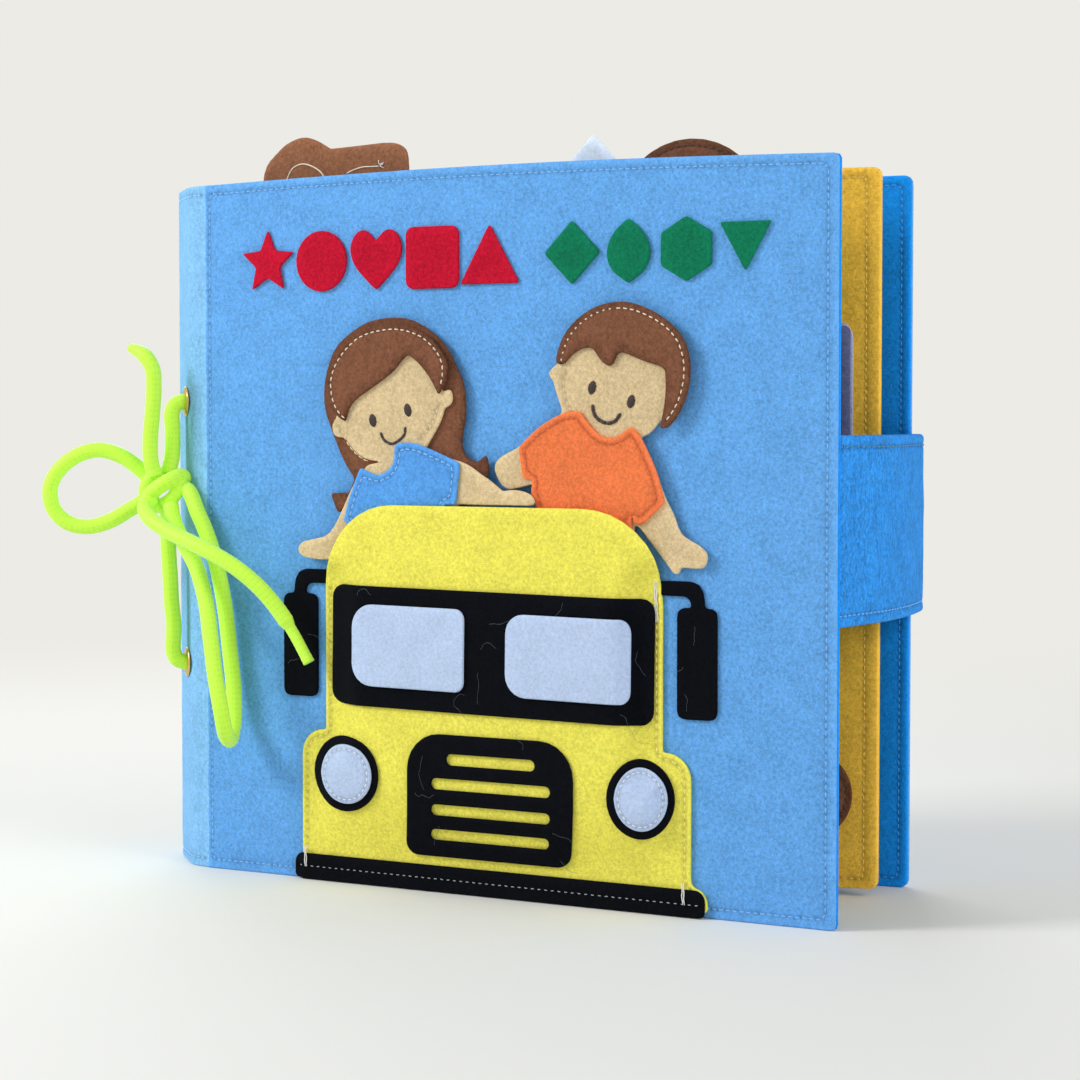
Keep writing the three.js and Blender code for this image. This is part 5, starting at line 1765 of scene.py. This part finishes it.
@dataclass
class Lint:
    """Stray fibres that have settled on the black felt, a little thicker than real ones so that they show."""

    bus: Bus
    radius: float = 0.04
    joints: int = 9
    curl: float = 0.42
    bus_depth: float = 2.65
    mirror_y: float = -1.3
    on_bus: tuple[tuple[float, float], ...] = (
        (104, 70), (106, 84), (60, 90), (52, 74), (150, 59), (133, 92), (84, 44), (90, 22), (80, 32), (128, 22),
        (118, 46), (131, 14), (110, 76), (162, 70), (100, 62))
    on_mirrors: tuple[tuple[float, float], ...] = ((173, 74), (176, 86), (172.5, 66), (37, 70))

    def build(self) -> None:
        """Lay the fibres in loose curls."""
        rng = np.random.default_rng(11)

        def curl(spot: tuple[float, float], least: float, most: float) -> Flat:
            """Draw one fibre's curl from a spot, its joints least to most apart."""
            turns = np.cumsum(rng.normal(0, self.curl, self.joints)) + rng.uniform(0, 6.28)
            return flat_route(np.array(spot) + np.cumsum(polar(turns) * rng.uniform(least, most), axis=0), 0.4)
        threads = []
        for spot in self.on_bus:
            flat = curl(spot, 0.8, 2.0)
            threads.append(self.bus.wrap(flat, self.bus.lift(flat) - self.bus.rest + self.bus_depth))
        threads += [upright(curl(spot, 0.5, 1.0), self.mirror_y) for spot in self.on_mirrors]
        lay_threads("lint", threads, self.radius, Threads.LINT, "front_cover", 4)


@dataclass
class Applique:
    """A flat felt piece that keeps its solid's outline and place.

    An arc of stitches has a centre, its first and last angle in degrees and the stitches' share of their pitch. A
    chin is a row of biscuit stitches through given places.
    """

    node: str
    finish: Felts
    rests_on: str
    body: str = "front_cover"
    thread: Threads | None = None
    stitch_inset: float = 2.0
    arcs: tuple[tuple[float, float, float, float, float], ...] = ()
    thickness: float = 1.2
    rounding: float = 0.45
    base: Callable[[Flat], np.ndarray] | None = None
    keep_above: float = -1.0
    chin: tuple[tuple[tuple[float, float], ...], ...] = ()
    reach: float = 0.0

    def longer(self, loop: Flat) -> Flat:
        """Return the outline with its end towards the bus made longer, so that it goes in under the yellow felt."""
        end = loop[:, 0].max() if self.reach > 0 else loop[:, 0].min()
        return resample(loop + np.outer(np.abs(loop[:, 0] - end) < 0.7, (self.reach, 0.0)), 0.8, True)

    def build(self) -> None:
        """Cut the piece from its solid's outline and sew its rows of stitches."""
        loops = outline_of(self.node, self.rounding)
        if self.keep_above > 0:
            loops = [soften(np.maximum(loop, (-np.inf, self.keep_above)), 0.8, 0.4) for loop in loops]
        if self.reach:
            loops = [self.longer(loop) for loop in loops]
        seams = ()
        if self.thread:
            row = inset(max(loops, key=lambda loop: abs(area_of(loop))), self.stitch_inset)
            seams = tuple(Seam(far_arc(row, *arc), self.thread, share=share) for *arc, share in self.arcs)
            seams = seams or (Seam(row, self.thread, closed=True),)
        seams += tuple(Seam(flat_route(places, 0.5), Threads.SKIN, pitch=2.0, width=0.34) for places in self.chin)
        FeltSheet(f"{self.node}_felt", loops, self.thickness, self.finish, self.body, (self.node,), "laid",
                  (self.rests_on,), box_of(self.node)[1][1], seams, base=self.base).build()


HAND_RISE, HAND_FROM, HAND_SLOPE, HAND_BOTTOM = 1.4, 97.5, 8.0, 112.0


def hand_lift(flat: Flat) -> np.ndarray:
    """Return how far the girl's arm rises where her hand lies over the boy's."""
    return HAND_RISE * ease((flat[:, 0] - HAND_FROM) / HAND_SLOPE) * (flat[:, 1] > HAND_BOTTOM)


APPLIQUES = (
    *(Applique(f"red_{shape}", Felts.RED, "front_cover_outer")
      for shape in ("star", "circle", "heart", "square", "triangle")),
    *(Applique(f"green_{shape}", Felts.GREEN, "front_cover_outer")
      for shape in ("diamond", "leaf", "hexagon", "triangle")),
    Applique("left_mirror", Felts.BLACK, "front_cover_outer", reach=3.2),
    Applique("right_mirror", Felts.BLACK, "front_cover_outer", reach=-3.2),
    Applique("girl_hair_back", Felts.BROWN, "front_cover_outer", "girl"),
    Applique("girl_body", Felts.SKIN, "girl_hair_back", "girl", base=hand_lift,
             chin=(((54.6, 142.2), (56.8, 138.0), (60.2, 134.4), (64.4, 132.2)),
                   ((90.0, 148.6), (87.6, 143.4), (84.0, 139.4)))),
    Applique("girl_hair_front", Felts.BROWN, "girl_body", "girl", Threads.CREAM, 1.6,
             ((72.3, 158.2, -8.0, 222.0, 0.72),)),
    Applique("girl_shirt", Felts.SHIRT, "girl_body", "girl", Threads.SHIRT),
    Applique("boy_body", Felts.SKIN, "front_cover_outer", "boy",
             chin=(((132.9, 157.2), (133.6, 152.0), (135.8, 147.2)),)),
    Applique("boy_hair", Felts.BROWN, "boy_body", "boy", Threads.CREAM, 1.9,
             ((153.0, 158.9, -44.0, 96.0, 0.72), (153.0, 158.9, 98.0, 178.0, 0.3)), keep_above=142.6),
    Applique("boy_shirt", Felts.ORANGE, "boy_body", "boy", Threads.RUST),
    Applique("hair_piece", Felts.NUT, "page_1", "loose_hair"),
    Applique("felt_card", Felts.ICE, "round_piece", "loose_card", thickness=0.8),
    Applique("round_piece", Felts.BROWN, "page_1", "loose_round", Threads.CHESTNUT),
)


@dataclass
class Face:
    """A doll's sewn face: two satin-stitched eyes and a smile in back stitch."""

    body: str
    level: float
    eyes: tuple[tuple[float, float], tuple[float, float]]
    mouth: tuple[tuple[float, float], ...]
    lean_degrees: float
    smile_thread: float
    eye_width: float = 2.4
    eye_height: float = 4.1
    eye_rise: float = 0.42
    eye_rows: int = 7
    eye_share: float = 0.86
    thread: float = 0.24
    stitch: float = 1.9
    stitch_overlap: float = 0.12

    def build(self) -> None:
        """Sew the eyes and the mouth."""
        along = polar(math.radians(self.lean_degrees))
        stops = np.linspace(-1, 1, 7)
        lines = []
        for eye in self.eyes:
            for share in np.linspace(-self.eye_share, self.eye_share, self.eye_rows):
                width = math.sqrt(1 - share ** 2)
                flat = (np.array(eye) + along * share * self.eye_width / 2
                        + np.outer(stops * self.eye_height / 2 * width, leftward(along)))
                rise = self.eye_rise * np.sqrt(np.clip(1 - stops ** 2, 0, 1)) * width - 0.12
                lines.append(upright(flat, self.level - rise))
        lay_threads(f"{self.body}_eye_stitches", lines, self.thread, Threads.CHESTNUT, self.body, 8)
        smile, step = flat_route(self.mouth, 0.3), 0.3
        count = max(4, round(len(smile) * step / self.stitch))
        lines = []
        for index in range(count):
            first, last = (round((index + more) * (len(smile) - 1) / count) for more in (0, 1 + self.stitch_overlap))
            flat = smile[first:min(len(smile) - 1, last) + 1]
            lines.append(upright(flat, self.level + 0.25 - 0.3 * np.sin(np.linspace(0, math.pi, len(flat)))))
        lay_threads(f"{self.body}_smile_stitches", lines, self.smile_thread, Threads.CHESTNUT, self.body, 8)


FACES = (
    Face("girl", -3.8, ((66.5, 144.8), (79.3, 148.0)),
         ((69.4, 141.1), (70.6, 138.9), (73.3, 137.7), (76.1, 138.8), (78.0, 140.5), (78.4, 142.8)), 14.0, 0.47),
    Face("boy", -2.6, ((142.9, 154.5), (155.9, 150.4)),
         ((143.1, 149.4), (143.5, 147.1), (145.0, 145.2), (148.2, 144.1), (150.8, 144.9), (152.3, 146.8)),
         -16.0, 0.6),
)


@dataclass
class HairPieceThreads:
    """What is left of the rows that were sewn on the loose hair piece: two curved rows and a white tuft."""

    face: float = 11.15
    radius: float = 0.24
    tuft_radius: float = 0.14
    tuft_threads: int = 9
    rows: tuple[tuple[tuple[float, float], ...], ...] = (
        ((24.0, 221.4), (25.0, 223.4), (26.5, 225.2), (29.9, 226.3), (33.4, 225.6), (37.0, 223.6), (38.6, 221.6)),
        ((47.0, 222.6), (50.2, 223.7), (53.2, 224.3), (56.6, 224.3), (59.2, 224.3)))
    tuft: tuple[float, float] = (59.6, 224.4)

    def build(self) -> None:
        """Lay the rows and the tuft on the hair piece's face."""
        rows = [upright(flat_route(row, 0.5), self.face) for row in self.rows]
        lay_threads("hair_piece_rows", rows, self.radius, Threads.CREAM, "loose_hair")
        rng = np.random.default_rng(5)
        root = np.array([self.tuft[0], self.face, self.tuft[1]])
        ends = []
        for turn in rng.uniform(-0.6, 2.4, self.tuft_threads):
            way = np.array([math.cos(turn), 0.0, math.sin(turn)]) * rng.uniform(0.8, 1.9)
            ends.append(np.array([root, root + way * 0.5 - (0.0, 0.35, 0.0), root + way - (0.0, 0.2, 0.0)]))
        lay_threads("hair_piece_tuft", ends, self.tuft_radius, Threads.WHITE, "loose_hair")


def main() -> None:
    """Dress the whole book."""
    logging.basicConfig(level=logging.INFO, format="%(message)s")
    bpy.context.scene.view_settings.view_transform = "Standard"
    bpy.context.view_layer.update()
    spine, bus = Spine(), Bus()
    back_cover = BackCover(spine)
    for thing in (Camera(), Lace(), Studio(), spine, FrontCover(), back_cover, Strap(back_cover), Pages(), bus,
                  *APPLIQUES, *FACES, HairPieceThreads(), Lint(bus)):
        thing.build()


if __name__ == "__main__":
    main()
